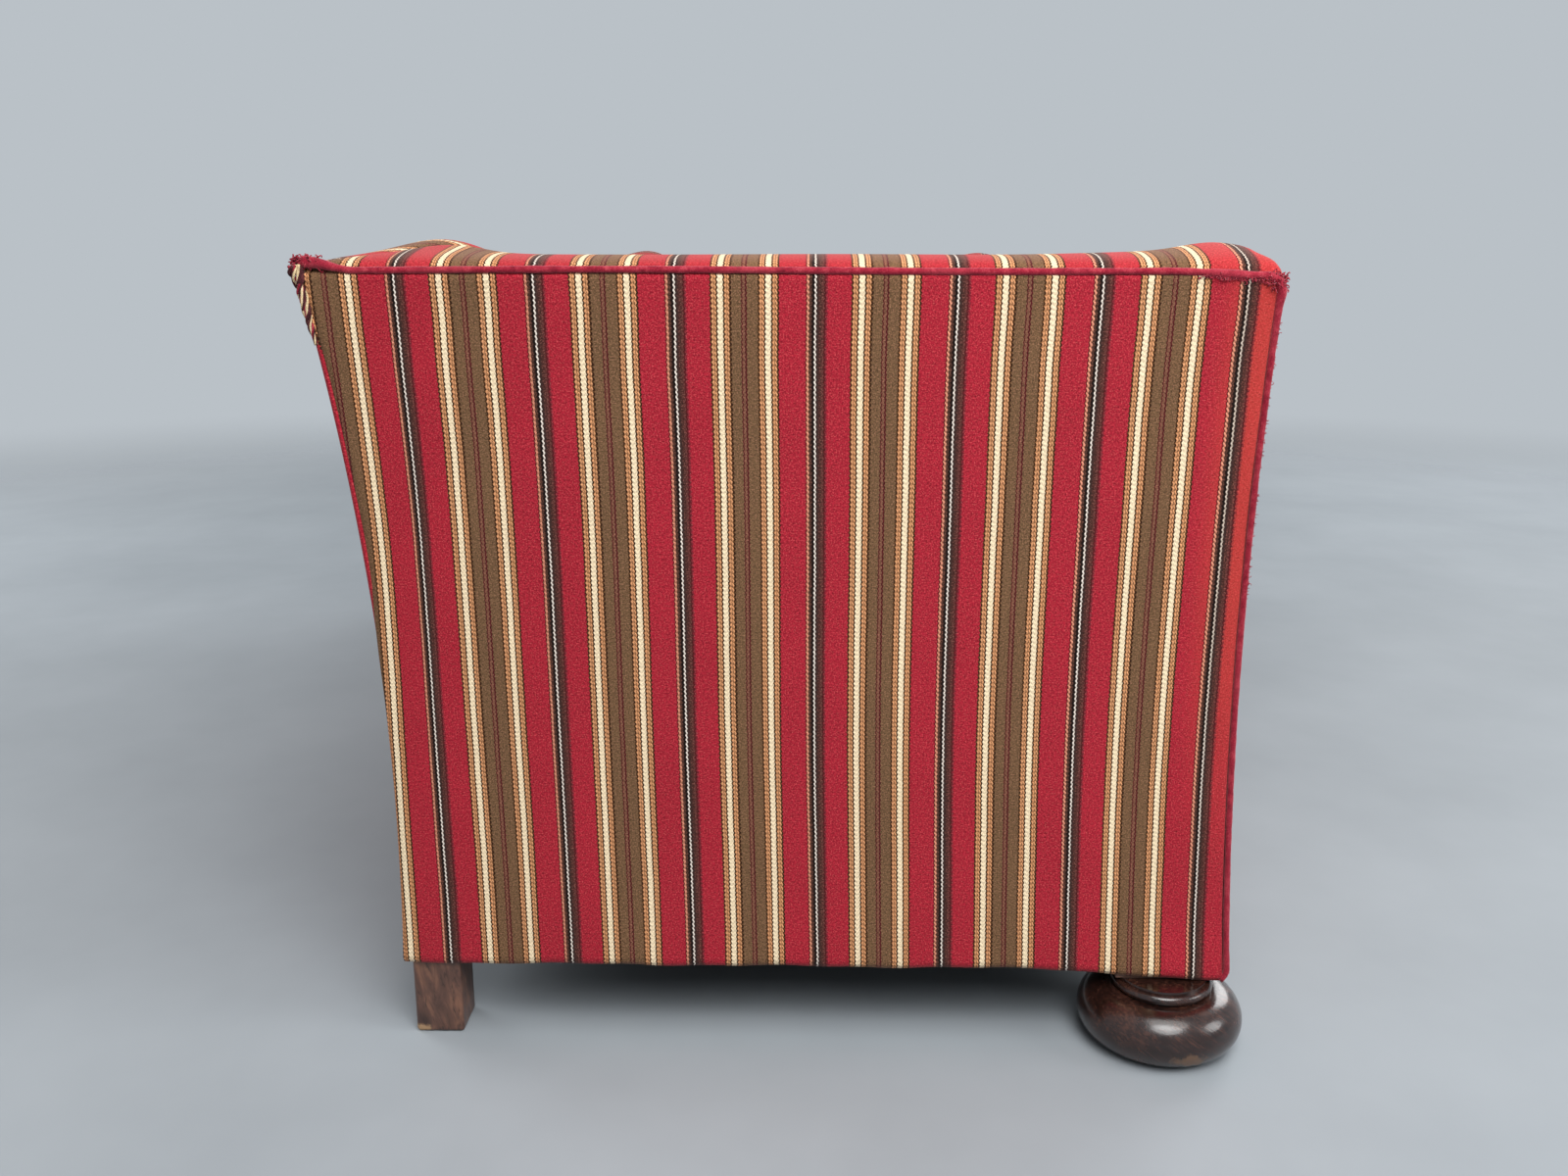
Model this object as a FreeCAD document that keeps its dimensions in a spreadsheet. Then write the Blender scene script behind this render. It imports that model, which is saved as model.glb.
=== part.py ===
import FreeCAD, Part
import math
import os
import Sketcher

# Striped three-seat sofa: a hardwood frame with a sprung seat, hollow-curved
# outside panels, padded arms and back, loose seat cushions, turned front feet.
# Millimetres. X runs along the length, the front faces -Y, Z is up, and the
# origin is on the floor under the middle of the whole. Left and right are as
# seen from the front, so left is -X.

SIZES = {
    # whole body
    "seat_width": 1560,           # between the inside arm pads
    "arm_thickness": 140,         # inside face to the narrowest of the outside
    "body_depth": 805,            # front face to the narrowest of the outside back
    "back_thickness": 191,        # narrowest of the outside back to the inside back at lean_height
    "lean_height": 430,
    "back_lean": 10.7,            # degrees
    "foot_height": 80,            # floor to the lower edge of the covers
    "welt_height": 748,           # floor to the welt along the top edges
    "side_curve_radius": 3520,    # hollow of the outside arms
    "side_waist_height": 320,
    "rear_curve_radius": 3440,    # hollow of the outside back
    "rear_waist_height": 190,
    # covers and pads
    "cover_thickness": 5,
    "front_pad": 12,
    "top_pad": 28,                # under the welt's height, without the crown
    "crown_radius": 220,
    "shoulder_radius": 34,
    "shoulder_width": 30,
    "shoulder_drop": 26,
    "shoulder_rise": 4,
    "nose_radius": 34,
    "nose_drop": 22,
    "pad_overlap": 35,            # how far the inside pads reach below the deck
    "welt_radius": 3.5,
    "welt_bend": 14,
    "welt_proud": 1.5,
    "lining_thickness": 1.5,
    "lining_inset": 15,
    "fit_gap": 0.3,
    # frame
    "frame_thickness": 50,
    "front_post_depth": 90,
    "rear_post_depth": 48,
    "seat_rail_height": 110,
    "seat_rail_thickness": 30,
    "cross_rail_height": 30,
    "arm_rail_height": 45,
    "back_rail_height": 60,
    "upright_width": 50,
    "upright_spacing": 520,
    "block_leg": 90,
    "block_height": 40,
    "dowel_radius": 5,
    "dowel_length": 60,
    "dowel_gap": 0.15,
    # feet
    "bun_radius": 80,
    "bun_belly_height": 57,
    "bead_root_radius": 46,
    "bead_bottom": 57.5,
    "bead_top": 66.5,
    "bead_round": 4.7,
    "neck_radius": 43.5,
    "foot_top": 70,               # floor to the underside of the front posts
    "foot_inset": 20,             # foot's axis to the lower edge of the side
    "foot_setback": 54,           # foot's axis to the front face
    "foot_bolt_radius": 5,
    "foot_bolt_reach": 45,        # up into the post and down into the foot
    "leg_size": 48,
    "leg_inset": 2,
    "leg_joint": 10,
    "leg_round": 4,
    # springing
    "webbing_width": 50,
    "webbing_thickness": 2,
    "spring_end_radius": 45,
    "spring_waist_radius": 30,
    "spring_wire_radius": 1.9,
    "deck_pad": 25,
    "deck_height": 300,
    # seat cushions
    "cushion_gap": 2,
    "cushion_setback": 6,
    "cushion_height": 135,
    "cushion_crown_across": 1400,
    "cushion_crown_along": 1600,
    "cushion_side_radius": 5200,  # the drawn-in sides
}

SPRING_COLUMNS = 8
SPRING_ROWS = 3
SPRING_TURNS = 4
CUSHIONS = ("left", "centre", "right")
SIDES = {"left": -1, "right": 1}

doc = FreeCAD.newDocument("Sofa")
sheet = doc.addObject("Spreadsheet::Sheet", "Size")
for row, (name, value) in enumerate(SIZES.items(), start=1):
    sheet.set(f"A{row}", name)
    sheet.set(f"B{row}", str(value))
    sheet.setAlias(f"B{row}", name)
doc.recompute()

at = doc.addObject("App::VarSet", "At")
nodes = []


def place(name, formula):
    """A place worked out from the sizes, kept by name."""
    at.addProperty("App::PropertyFloat", name)
    at.setExpression(name, formula)
    doc.recompute()


def number(formula):
    return float(at.evalExpression(formula))


def side_at(height, depth="0"):
    """How far out the side's face is at a height, or a surface at a depth under it."""
    radius = f"(Size.side_curve_radius + {depth})"
    rise = f"({height} - Size.side_waist_height)"
    return f"(At.side_axis - sqrt(pow({radius}; 2) - pow({rise}; 2)))"


def rear_at(height, depth="0"):
    """How far back the back's face is at a height, or a surface at a depth under it."""
    radius = f"(Size.rear_curve_radius + {depth})"
    rise = f"({height} - Size.rear_waist_height)"
    return f"(At.rear_axis - sqrt(pow({radius}; 2) - pow({rise}; 2)))"


def back_at(height):
    """Where the leaning inside back is at a height."""
    return f"(At.front + At.seat_depth + ({height} - Size.lean_height) * tan(Size.back_lean * 1 deg))"


place("seat_half", "Size.seat_width / 2")
place("seat_depth", "Size.body_depth - Size.back_thickness")
place("side_waist", "At.seat_half + Size.arm_thickness")
place("side_axis", "At.side_waist + Size.side_curve_radius")
place("welt_rise", "Size.welt_height - Size.rear_waist_height")
place("rear_flare", "Size.rear_curve_radius - sqrt(pow(Size.rear_curve_radius; 2) - pow(At.welt_rise; 2))")
place("rear_reach", "At.rear_flare + Size.welt_radius - Size.cover_thickness + Size.welt_radius")
place("foot_overhang", "Size.bun_radius - Size.foot_setback")
place("front", "(At.foot_overhang - Size.body_depth - At.rear_reach) / 2")
place("rear_waist", "At.front + Size.body_depth")
place("rear_axis", "At.rear_waist + Size.rear_curve_radius")
place("skin", "Size.cover_thickness + Size.fit_gap")
place("side_frame", "At.skin + Size.frame_thickness")
place("rear_frame", "At.skin + Size.rear_post_depth")
place("rail_bottom", "Size.foot_height + 2 * Size.webbing_thickness")
place("rail_top", "At.rail_bottom + Size.seat_rail_height")
place("pad_base", "Size.welt_height - Size.top_pad")
place("frame_top", "At.pad_base - Size.fit_gap")
place("frame_front", "At.front + Size.front_pad + Size.fit_gap")
place("post_rear", "At.frame_front + Size.front_post_depth")
place("pad_bottom", "Size.deck_height - Size.pad_overlap")
place("stuffing_top", "At.pad_bottom + Size.arm_rail_height")
place("foot_x", side_at("Size.foot_height") + " - Size.foot_inset")
place("foot_y", "At.front + Size.foot_setback")
place("leg_x", side_at("Size.foot_height") + " - Size.cover_thickness - Size.leg_inset")
place("leg_y", rear_at("Size.foot_height") + " - Size.cover_thickness - Size.leg_inset")
place("frame_inner", side_at("Size.side_waist_height", "At.side_frame"))
place("seat_front", "At.frame_front + Size.seat_rail_thickness")
place("seat_rear", rear_at("Size.rear_waist_height", "At.rear_frame"))
place("deck_rear", back_at("At.pad_bottom") + " - Size.fit_gap")
place("spring_pitch", f"Size.seat_width / {SPRING_COLUMNS}")
place("spring_row_pitch", f"(At.deck_rear - At.seat_front) / {SPRING_ROWS}")
place("spring_base", "At.rail_bottom + Size.fit_gap")
place("deck_bottom", "Size.deck_height - Size.deck_pad")
place("hessian_bottom", "At.deck_bottom - Size.fit_gap - Size.lining_thickness")
place("spring_top", "At.hessian_bottom - Size.fit_gap")
place("back_stop", "At.rear_frame + Size.webbing_thickness + Size.fit_gap")
place("welt_low", "Size.welt_radius + Size.fit_gap")
place("welt_depth", "Size.cover_thickness - Size.welt_radius")
place("welt_front", "At.front + Size.welt_radius - Size.welt_proud")
place("cushion_width", f"(Size.seat_width - {len(CUSHIONS) + 1} * Size.cushion_gap) / {len(CUSHIONS)}")
place("cushion_front", "At.front + Size.cushion_setback")
place("cushion_rear", back_at("Size.deck_height") + " - Size.cushion_gap")
place("cushion_base", "Size.deck_height + Size.fit_gap")


def bind(obj, **formulas):
    for prop, formula in formulas.items():
        obj.setExpression(prop, formula)


def bind_base(obj, x="0", y="0", z="0"):
    obj.setExpression("Placement.Base.x", x)
    obj.setExpression("Placement.Base.y", y)
    obj.setExpression("Placement.Base.z", z)


def keep(obj, label):
    """Makes an object one of the sub-parts that are written."""
    obj.Label = label
    nodes.append(obj)
    return obj


def block(name, x, y, z):
    """A box between two formulas along each axis."""
    box = doc.addObject("Part::Box", name)
    bind(
        box,
        Length=f"{x[1]} - ({x[0]})",
        Width=f"{y[1]} - ({y[0]})",
        Height=f"{z[1]} - ({z[0]})",
    )
    bind_base(box, x[0], y[0], z[0])
    return box


def sided(sign, inner, outer):
    """An X range that lies between two distances from the middle, on one side."""
    if sign > 0:
        return (inner, outer)
    return (f"-({outer})", f"-({inner})")


def cut(name, base, *tools):
    result = base
    for index, tool in enumerate(tools):
        step = doc.addObject("Part::Cut", f"{name}_{index}")
        step.Base = result
        step.Tool = tool
        result = step
    return result


def common(name, *shapes):
    result = shapes[0]
    for index, other in enumerate(shapes[1:]):
        step = doc.addObject("Part::Common", f"{name}_{index}")
        step.Base = result
        step.Tool = other
        result = step
    return result


def group(name, members):
    compound = doc.addObject("Part::Compound", name)
    compound.Links = members
    return compound


def side_cylinder(name, sign, depth):
    """The cylinder whose wall is the side's curved surface at a depth."""
    cylinder = doc.addObject("Part::Cylinder", name)
    cylinder.Placement.Rotation = FreeCAD.Rotation(FreeCAD.Vector(1, 0, 0), -90)
    bind(cylinder, Radius=f"Size.side_curve_radius + {depth}", Height="4 * Size.body_depth")
    bind_base(cylinder, f"{sign} * At.side_axis", "-2 * Size.body_depth", "Size.side_waist_height")
    return cylinder


def rear_cylinder(name, depth):
    """The cylinder whose wall is the back's curved surface at a depth."""
    cylinder = doc.addObject("Part::Cylinder", name)
    cylinder.Placement.Rotation = FreeCAD.Rotation(FreeCAD.Vector(0, 1, 0), 90)
    bind(cylinder, Radius=f"Size.rear_curve_radius + {depth}", Height="4 * At.side_waist")
    bind_base(cylinder, "-2 * At.side_waist", "At.rear_axis", "Size.rear_waist_height")
    return cylinder


def origin_plane(body, role):
    return [item for item in body.Origin.OriginFeatures if item.Role == role][0]


def edge_geometry(start, end, arc):
    """A line, or an arc of a given radius whose centre is left or right of the way along it."""
    if arc is None:
        return Part.LineSegment(start, end), 1, 2
    radius = number(arc[0])
    chord = end - start
    leftward = FreeCAD.Vector(-chord.y, chord.x, 0)
    leftward.normalize()
    turn = 1 if arc[1] == "left" else -1
    reach = math.sqrt(radius ** 2 - (chord.Length / 2) ** 2)
    centre = (start + end) * 0.5 + leftward * (turn * reach)
    first, last = (start, end) if turn > 0 else (end, start)
    begin = math.atan2(first.y - centre.y, first.x - centre.x)
    finish = math.atan2(last.y - centre.y, last.x - centre.x)
    circle = Part.Circle(centre, FreeCAD.Vector(0, 0, 1), radius)
    curve = Part.ArcOfCircle(circle, begin, finish)
    return (curve, 1, 2) if turn > 0 else (curve, 2, 1)


def outline(body, role, corners, arcs):
    """A closed sketch with a pair of formulas to each corner; arcs go by their first corner."""
    sketch = body.newObject("Sketcher::SketchObject", body.Name + "_outline")
    sketch.AttachmentSupport = [(origin_plane(body, role), "")]
    sketch.MapMode = "FlatFace"
    points = [FreeCAD.Vector(number(u), number(v), 0) for u, v in corners]
    ends = []
    for index, start in enumerate(points):
        end = points[(index + 1) % len(points)]
        curve, first, last = edge_geometry(start, end, arcs.get(index))
        ends.append((sketch.addGeometry(curve, False), first, last))
    for index, (edge, first, last) in enumerate(ends):
        following, its_first, its_last = ends[(index + 1) % len(ends)]
        sketch.addConstraint(Sketcher.Constraint("Coincident", edge, last, following, its_first))
    for index, (edge, first, last) in enumerate(ends):
        for kind, formula in zip(("DistanceX", "DistanceY"), corners[index]):
            row = sketch.addConstraint(
                Sketcher.Constraint(kind, -1, 1, edge, first, number(formula))
            )
            sketch.setExpression(f"Constraints[{row}]", formula)
        if index in arcs:
            formula = arcs[index][0]
            row = sketch.addConstraint(Sketcher.Constraint("Radius", edge, number(formula)))
            sketch.setExpression(f"Constraints[{row}]", formula)
    return sketch


def prism(name, role, corners, arcs, start, length):
    """An outline drawn out along X, Y or Z from a place."""
    body = doc.addObject("PartDesign::Body", name)
    sketch = outline(body, role, corners, arcs)
    pad = body.newObject("PartDesign::Pad", name + "_pad")
    pad.Profile = sketch
    pad.setExpression("Length", length)
    pad.Reversed = role == "XZ_Plane"
    axis = {"YZ_Plane": "x", "XZ_Plane": "y", "XY_Plane": "z"}[role]
    body.setExpression(f"Placement.Base.{axis}", start)
    body.Tip = pad
    return body


def turned(name, corners, arcs, x, y):
    """An outline in the XZ plane turned about the upright axis."""
    body = doc.addObject("PartDesign::Body", name)
    sketch = outline(body, "XZ_Plane", corners, arcs)
    turn = body.newObject("PartDesign::Revolution", name + "_turn")
    turn.Profile = sketch
    turn.ReferenceAxis = (sketch, ["V_Axis"])
    turn.Angle = 360
    body.Tip = turn
    bind_base(body, x, y)
    return body


def rod(name, axis, radius, length, x, y, z):
    """A round bar along an axis, with its middle at a place."""
    bar = doc.addObject("Part::Cylinder", name)
    turns = {
        "x": FreeCAD.Rotation(FreeCAD.Vector(0, 1, 0), 90),
        "y": FreeCAD.Rotation(FreeCAD.Vector(1, 0, 0), -90),
        "z": FreeCAD.Rotation(),
    }
    bar.Placement.Rotation = turns[axis]
    bind(bar, Radius=radius, Height=length)
    middle = {"x": x, "y": y, "z": z}
    middle[axis] = f"{middle[axis]} - ({length}) / 2"
    bind_base(bar, **middle)
    return bar


# Surfaces that the covers and the frame follow.
rear_face = rear_cylinder("rear_face", "0")
rear_skin = rear_cylinder("rear_skin", "Size.cover_thickness")
rear_trim = rear_cylinder("rear_trim", "At.skin")
rear_inner = rear_cylinder("rear_inner", "At.rear_frame")
rear_stop = rear_cylinder("rear_stop", "At.rear_frame + Size.fit_gap")
rear_web = rear_cylinder("rear_web", "At.rear_frame + Size.webbing_thickness")
rear_shell = cut("rear_shell", rear_skin, rear_face)
rear_zone = cut("rear_zone", rear_inner, rear_trim)
web_zone = cut("web_zone", rear_web, rear_inner)

side_trim = {}
side_stop = {}
side_shell = {}
side_zone = {}
for side, sign in SIDES.items():
    face = side_cylinder(f"{side}_face", sign, "0")
    skin = side_cylinder(f"{side}_skin", sign, "Size.cover_thickness")
    side_trim[side] = side_cylinder(f"{side}_trim", sign, "At.skin")
    inner = side_cylinder(f"{side}_inner", sign, "At.side_frame")
    side_stop[side] = side_cylinder(f"{side}_stop", sign, "At.side_frame + Size.fit_gap")
    side_shell[side] = cut(f"{side}_shell", skin, face)
    side_zone[side] = cut(f"{side}_zone", inner, side_trim[side])

wide = ("-1.2 * At.side_waist", "1.2 * At.side_waist")
deep = ("At.frame_front", "1.5 * Size.body_depth")
seat_rail = ("At.rail_bottom", "At.rail_top")
top_rail = ("At.frame_top - Size.arm_rail_height", "At.frame_top")
stuffing_rail = ("At.pad_bottom", "At.stuffing_top")
back_rail = ("At.frame_top - Size.back_rail_height", "At.frame_top")

# Dowels of the frame joints, and the holes that they fill.
dowels = []
holes = []


def dowel(name, axis, x, y, z):
    dowels.append(rod(name, axis, "Size.dowel_radius", "Size.dowel_length", x, y, z))
    wide_radius = "Size.dowel_radius + Size.dowel_gap"
    long = "Size.dowel_length + 2 * Size.dowel_gap"
    holes.append(rod(name + "_hole", axis, wide_radius, long, x, y, z))


def frame_middle(height):
    return side_at(height, "At.skin + Size.frame_thickness / 2")


def rear_middle(height):
    return rear_at(height, "At.skin + Size.rear_post_depth / 2")


for side, sign in SIDES.items():
    for index, rise in enumerate((0.27, 0.73)):
        z = f"(At.rail_bottom + {rise} * Size.seat_rail_height)"
        joint_x = f"{sign} * {side_at(z, 'At.side_frame')}"
        front_y = "At.frame_front + Size.seat_rail_thickness / 2"
        dowel(f"{side}_front_rail_dowel_{index}", "x", joint_x, front_y, z)
        dowel(f"{side}_rear_rail_dowel_{index}", "x", joint_x, rear_middle(z), z)
    for index, rise in enumerate((0.56, 0.86)):
        z = f"(At.rail_bottom + {rise} * Size.seat_rail_height)"
        middle_x = f"{sign} * {frame_middle(z)}"
        dowel(f"{side}_end_rail_front_dowel_{index}", "y", middle_x, "At.post_rear", z)
        dowel(f"{side}_end_rail_rear_dowel_{index}", "y", middle_x, rear_at(z, "At.rear_frame"), z)
    z = "(At.frame_top - 0.3 * Size.arm_rail_height)"
    middle_x = f"{sign} * {frame_middle(z)}"
    dowel(f"{side}_arm_front_dowel", "y", middle_x, "At.post_rear", z)
    dowel(f"{side}_arm_rear_dowel", "y", middle_x, rear_at(z, "At.rear_frame"), z)
    z = "(At.frame_top - 0.7 * Size.back_rail_height)"
    dowel(f"{side}_back_dowel", "x", f"{sign} * {side_at(z, 'At.side_frame')}", rear_middle(z), z)

dowel_holes = group("dowel_holes", holes)
keep(group("frame_dowels", dowels), "frame_dowels")

# Bolts that hold the turned feet.
bolts = []
bolt_holes = []
for side, sign in SIDES.items():
    spot = (f"{sign} * At.foot_x", "At.foot_y", "Size.foot_top")
    reach = "2 * Size.foot_bolt_reach"
    bolts.append(rod(f"{side}_foot_bolt", "z", "Size.foot_bolt_radius", reach, *spot))
    wide_radius = "Size.foot_bolt_radius + Size.dowel_gap"
    long = "2 * (Size.foot_bolt_reach + Size.dowel_gap)"
    bolt_holes.append(rod(f"{side}_foot_bolt_hole", "z", wide_radius, long, *spot))
keep(group("foot_bolts", bolts), "foot_bolts")
foot_holes = group("foot_holes", bolt_holes)

# Arm frames, rear posts with their feet, and turned front feet.
for side, sign in SIDES.items():
    outer_x = sided(sign, "At.seat_half", "1.2 * At.side_waist")
    zone = side_zone[side]

    post_y = ("At.frame_front", "At.post_rear")
    stump = block(f"{side}_front_stump", outer_x, post_y, ("Size.foot_top", "At.frame_top"))
    post = common(f"{side}_front_post", stump, zone)
    keep(cut(f"{side}_front_post_drilled", post, dowel_holes, foot_holes), f"front_post_{side}")

    upright = block(f"{side}_rear_upright", outer_x, deep, ("At.rail_bottom", "At.frame_top"))
    upright = common(f"{side}_rear_post", upright, zone, rear_zone)
    leg_x = sided(sign, "At.leg_x - Size.leg_size", "At.leg_x")
    leg_y = ("At.leg_y - Size.leg_size", "At.leg_y")
    leg = prism(
        f"{side}_leg",
        "XY_Plane",
        [(leg_x[0], leg_y[0]), (leg_x[1], leg_y[0]), (leg_x[1], leg_y[1]), (leg_x[0], leg_y[1])],
        {},
        "0",
        "At.rail_bottom + Size.leg_joint",
    )
    doc.recompute()
    square = leg.Tip
    low_edges = [
        f"Edge{index}"
        for index, edge in enumerate(square.Shape.Edges, start=1)
        if min(vertex.Z for vertex in edge.Vertexes) < 1
    ]
    rounded = leg.newObject("PartDesign::Fillet", f"{side}_leg_round")
    rounded.Base = (square, low_edges)
    rounded.setExpression("Radius", "Size.leg_round")
    leg.Tip = rounded
    joined = doc.addObject("Part::Fuse", f"{side}_rear_post_leg")
    joined.Base = upright
    joined.Tool = leg
    keep(cut(f"{side}_rear_post_drilled", joined, dowel_holes), f"rear_post_{side}")

    run_y = ("At.post_rear", "1.5 * Size.body_depth")
    for label, heights in (
        ("seat_end_rail", seat_rail),
        ("arm_stuffing_rail", stuffing_rail),
        ("arm_top_rail", top_rail),
    ):
        board = common(f"{side}_{label}_board", block(f"{side}_{label}_blank", outer_x, run_y, heights), zone)
        keep(cut(f"{side}_{label}_fitted", board, rear_inner, leg, dowel_holes), f"{label}_{side}")

    bolt_r = "Size.foot_bolt_radius + Size.dowel_gap"
    bolt_floor = "Size.foot_top - Size.foot_bolt_reach - Size.dowel_gap"
    belly_round = "Size.bun_belly_height / 2"
    belly_centre = f"Size.bun_radius - {belly_round}"
    foot = turned(
        f"{side}_bun",
        [
            ("0", "0"),
            (belly_centre, "0"),
            ("Size.bun_radius", belly_round),
            (belly_centre, "Size.bun_belly_height"),
            ("Size.bead_root_radius", "Size.bun_belly_height"),
            ("Size.bead_root_radius", "Size.bead_bottom"),
            ("Size.bead_root_radius", "Size.bead_top"),
            ("Size.neck_radius", "Size.bead_top"),
            ("Size.neck_radius", "Size.foot_top"),
            (bolt_r, "Size.foot_top"),
            (bolt_r, bolt_floor),
            ("0", bolt_floor),
        ],
        {1: (belly_round, "left"), 2: (belly_round, "left"), 5: ("Size.bead_round", "left")},
        f"{sign} * At.foot_x",
        "At.foot_y",
    )
    keep(foot, f"bun_foot_{side}")

# Seat rails, cross rails, back rails and uprights.
both_stops = (side_stop["left"], side_stop["right"])
front_board = block("front_rail_blank", wide, ("At.frame_front", "At.seat_front"), seat_rail)
keep(cut("front_rail_fitted", front_board, *both_stops, dowel_holes), "seat_front_rail")
for label, heights in (
    ("seat_rear_rail", seat_rail),
    ("back_stuffing_rail", stuffing_rail),
    ("back_top_rail", back_rail),
):
    board = common(f"{label}_board", block(f"{label}_blank", wide, deep, heights), rear_zone)
    keep(cut(f"{label}_fitted", board, *both_stops, dowel_holes), label)

for side, sign in SIDES.items():
    rail_x = sided(
        sign,
        "2 * At.spring_pitch - Size.seat_rail_thickness / 2",
        "2 * At.spring_pitch + Size.seat_rail_thickness / 2",
    )
    rail_z = ("At.rail_bottom", "At.rail_bottom + Size.cross_rail_height")
    cross = block(f"{side}_cross_blank", rail_x, ("At.seat_front", "1.5 * Size.body_depth"), rail_z)
    keep(cut(f"{side}_cross_fitted", cross, rear_inner), f"seat_cross_rail_{side}")

    upright_x = sided(
        sign,
        "Size.upright_spacing / 2 - Size.upright_width / 2",
        "Size.upright_spacing / 2 + Size.upright_width / 2",
    )
    upright_z = ("At.stuffing_top", "At.frame_top - Size.back_rail_height")
    upright = block(f"{side}_upright_blank", upright_x, deep, upright_z)
    keep(common(f"{side}_back_upright", upright, rear_zone), f"back_upright_{side}")

# Glued blocks in the corners of the seat frame.
blocks = []
for side, sign in SIDES.items():
    outer_x = f"{sign} * 1.1 * At.side_waist"
    inner_x = f"{sign} * (At.frame_inner - Size.block_leg)"
    far_y = "At.seat_front + Size.block_leg + 1.1 * At.side_waist - At.frame_inner"
    front_corners = [(inner_x, "At.seat_front"), (outer_x, "At.seat_front"), (outer_x, far_y)]
    near_y = "At.seat_rear - Size.block_leg - 1.1 * At.side_waist + At.frame_inner"
    rear_y = "At.seat_rear + Size.block_leg"
    rear_corners = [(inner_x, rear_y), (inner_x, "At.seat_rear"), (outer_x, near_y), (outer_x, rear_y)]
    for end, corners in (("front", front_corners), ("rear", rear_corners)):
        brace = prism(f"{side}_{end}_brace", "XY_Plane", corners, {}, "At.rail_bottom", "Size.block_height")
        blocks.append(cut(f"{side}_{end}_block", brace, side_stop[side], rear_stop))
keep(group("corner_blocks", blocks), "corner_blocks")

# Webbing: crosswise straps under the rails, lengthwise straps under those.
cross_straps = []
for column in range(SPRING_COLUMNS):
    middle = f"({column - (SPRING_COLUMNS - 1) / 2} * At.spring_pitch)"
    cross_straps.append(block(
        f"cross_strap_{column}",
        (f"{middle} - Size.webbing_width / 2", f"{middle} + Size.webbing_width / 2"),
        ("At.frame_front", "At.seat_rear + Size.rear_post_depth / 2"),
        ("At.rail_bottom - Size.webbing_thickness", "At.rail_bottom"),
    ))
keep(group("seat_webbing_crosswise", cross_straps), "seat_webbing_crosswise")

long_straps = []
for row in range(SPRING_ROWS):
    middle = f"(At.seat_front + {row + 0.5} * At.spring_row_pitch)"
    long_straps.append(block(
        f"long_strap_{row}",
        ("-At.frame_inner - Size.frame_thickness / 2", "At.frame_inner + Size.frame_thickness / 2"),
        (f"{middle} - Size.webbing_width / 2", f"{middle} + Size.webbing_width / 2"),
        ("Size.foot_height", "Size.foot_height + Size.webbing_thickness"),
    ))
keep(group("seat_webbing_lengthwise", long_straps), "seat_webbing_lengthwise")

back_straps = []
for column in range(SPRING_COLUMNS - 1):
    middle = f"({column - (SPRING_COLUMNS - 2) / 2} * At.spring_pitch)"
    strap = block(
        f"back_strap_{column}_blank",
        (f"{middle} - Size.webbing_width / 2", f"{middle} + Size.webbing_width / 2"),
        ("At.front", "1.5 * Size.body_depth"),
        ("At.pad_bottom", "At.frame_top"),
    )
    back_straps.append(common(f"back_strap_{column}", strap, web_zone))
keep(group("back_webbing", back_straps), "back_webbing")


def arc_through(start, way, end):
    """The arc from a start, setting out along a direction, to an end."""
    chord = end - start
    across = way.cross(chord)
    if across.Length < 1e-6:
        return Part.LineSegment(start, end)
    inward = across.cross(way)
    inward.normalize()
    radius = chord.Length ** 2 / (2 * chord.dot(inward))
    centre = start + inward * radius
    middle = (start + end) * 0.5 - centre
    middle.normalize()
    return Part.Arc(start, centre + middle * radius, end)


def coil_shape(base, top, end_radius, waist_radius, wire_radius, turns):
    """An hourglass coil about the Z axis, swept on pairs of arcs to each half turn."""
    def point(share):
        angle = 2 * math.pi * turns * share
        radius = waist_radius + (end_radius - waist_radius) * (2 * share - 1) ** 2
        height = base + wire_radius + (top - base - 2 * wire_radius) * share
        return FreeCAD.Vector(radius * math.cos(angle), radius * math.sin(angle), height)

    def heading(share):
        way = point(share + 1e-5) - point(share - 1e-5)
        way.normalize()
        return way

    edges = []
    spans = 4 * turns
    for index in range(spans):
        start, end = point(index / spans), point((index + 1) / spans)
        out, back = heading(index / spans), heading((index + 1) / spans)
        chord = end - start
        lean = out + back
        share = chord.dot(lean)
        spread = 2 * (1 - out.dot(back))
        reach = (math.sqrt(share ** 2 + spread * chord.dot(chord)) - share) / spread
        middle = (start + end + (out - back) * reach) * 0.5
        first = arc_through(start, out, middle)
        second = arc_through(end, back * -1, middle)
        edges += [first.toShape(), second.toShape()]
    path = Part.Wire(Part.__sortEdges__(edges))
    ring = Part.Wire(Part.Circle(point(0), heading(0), wire_radius).toShape())
    return path.makePipeShell([ring], True, False)


coil = coil_shape(
    at.spring_base,
    at.spring_top,
    sheet.get("spring_end_radius"),
    sheet.get("spring_waist_radius"),
    sheet.get("spring_wire_radius"),
    SPRING_TURNS,
)
coils = []
for column in range(SPRING_COLUMNS):
    for row in range(SPRING_ROWS):
        spot = FreeCAD.Vector(
            (column - (SPRING_COLUMNS - 1) / 2) * at.spring_pitch,
            at.seat_front + (row + 0.5) * at.spring_row_pitch,
            0,
        )
        coils.append(coil.translated(spot))
springs = doc.addObject("Part::Feature", "seat_springs")
springs.Shape = Part.makeCompound(coils)
keep(springs, "seat_springs")

# Linings and stuffing.
seat_x = ("-At.seat_half + Size.fit_gap", "At.seat_half - Size.fit_gap")
deck_y = ("At.frame_front", "At.deck_rear")
hessian_z = ("At.hessian_bottom", "At.hessian_bottom + Size.lining_thickness")
keep(block("hessian", seat_x, deck_y, hessian_z), "spring_hessian")
keep(block("deck", seat_x, deck_y, ("At.deck_bottom", "Size.deck_height")), "seat_deck_pad")

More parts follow.
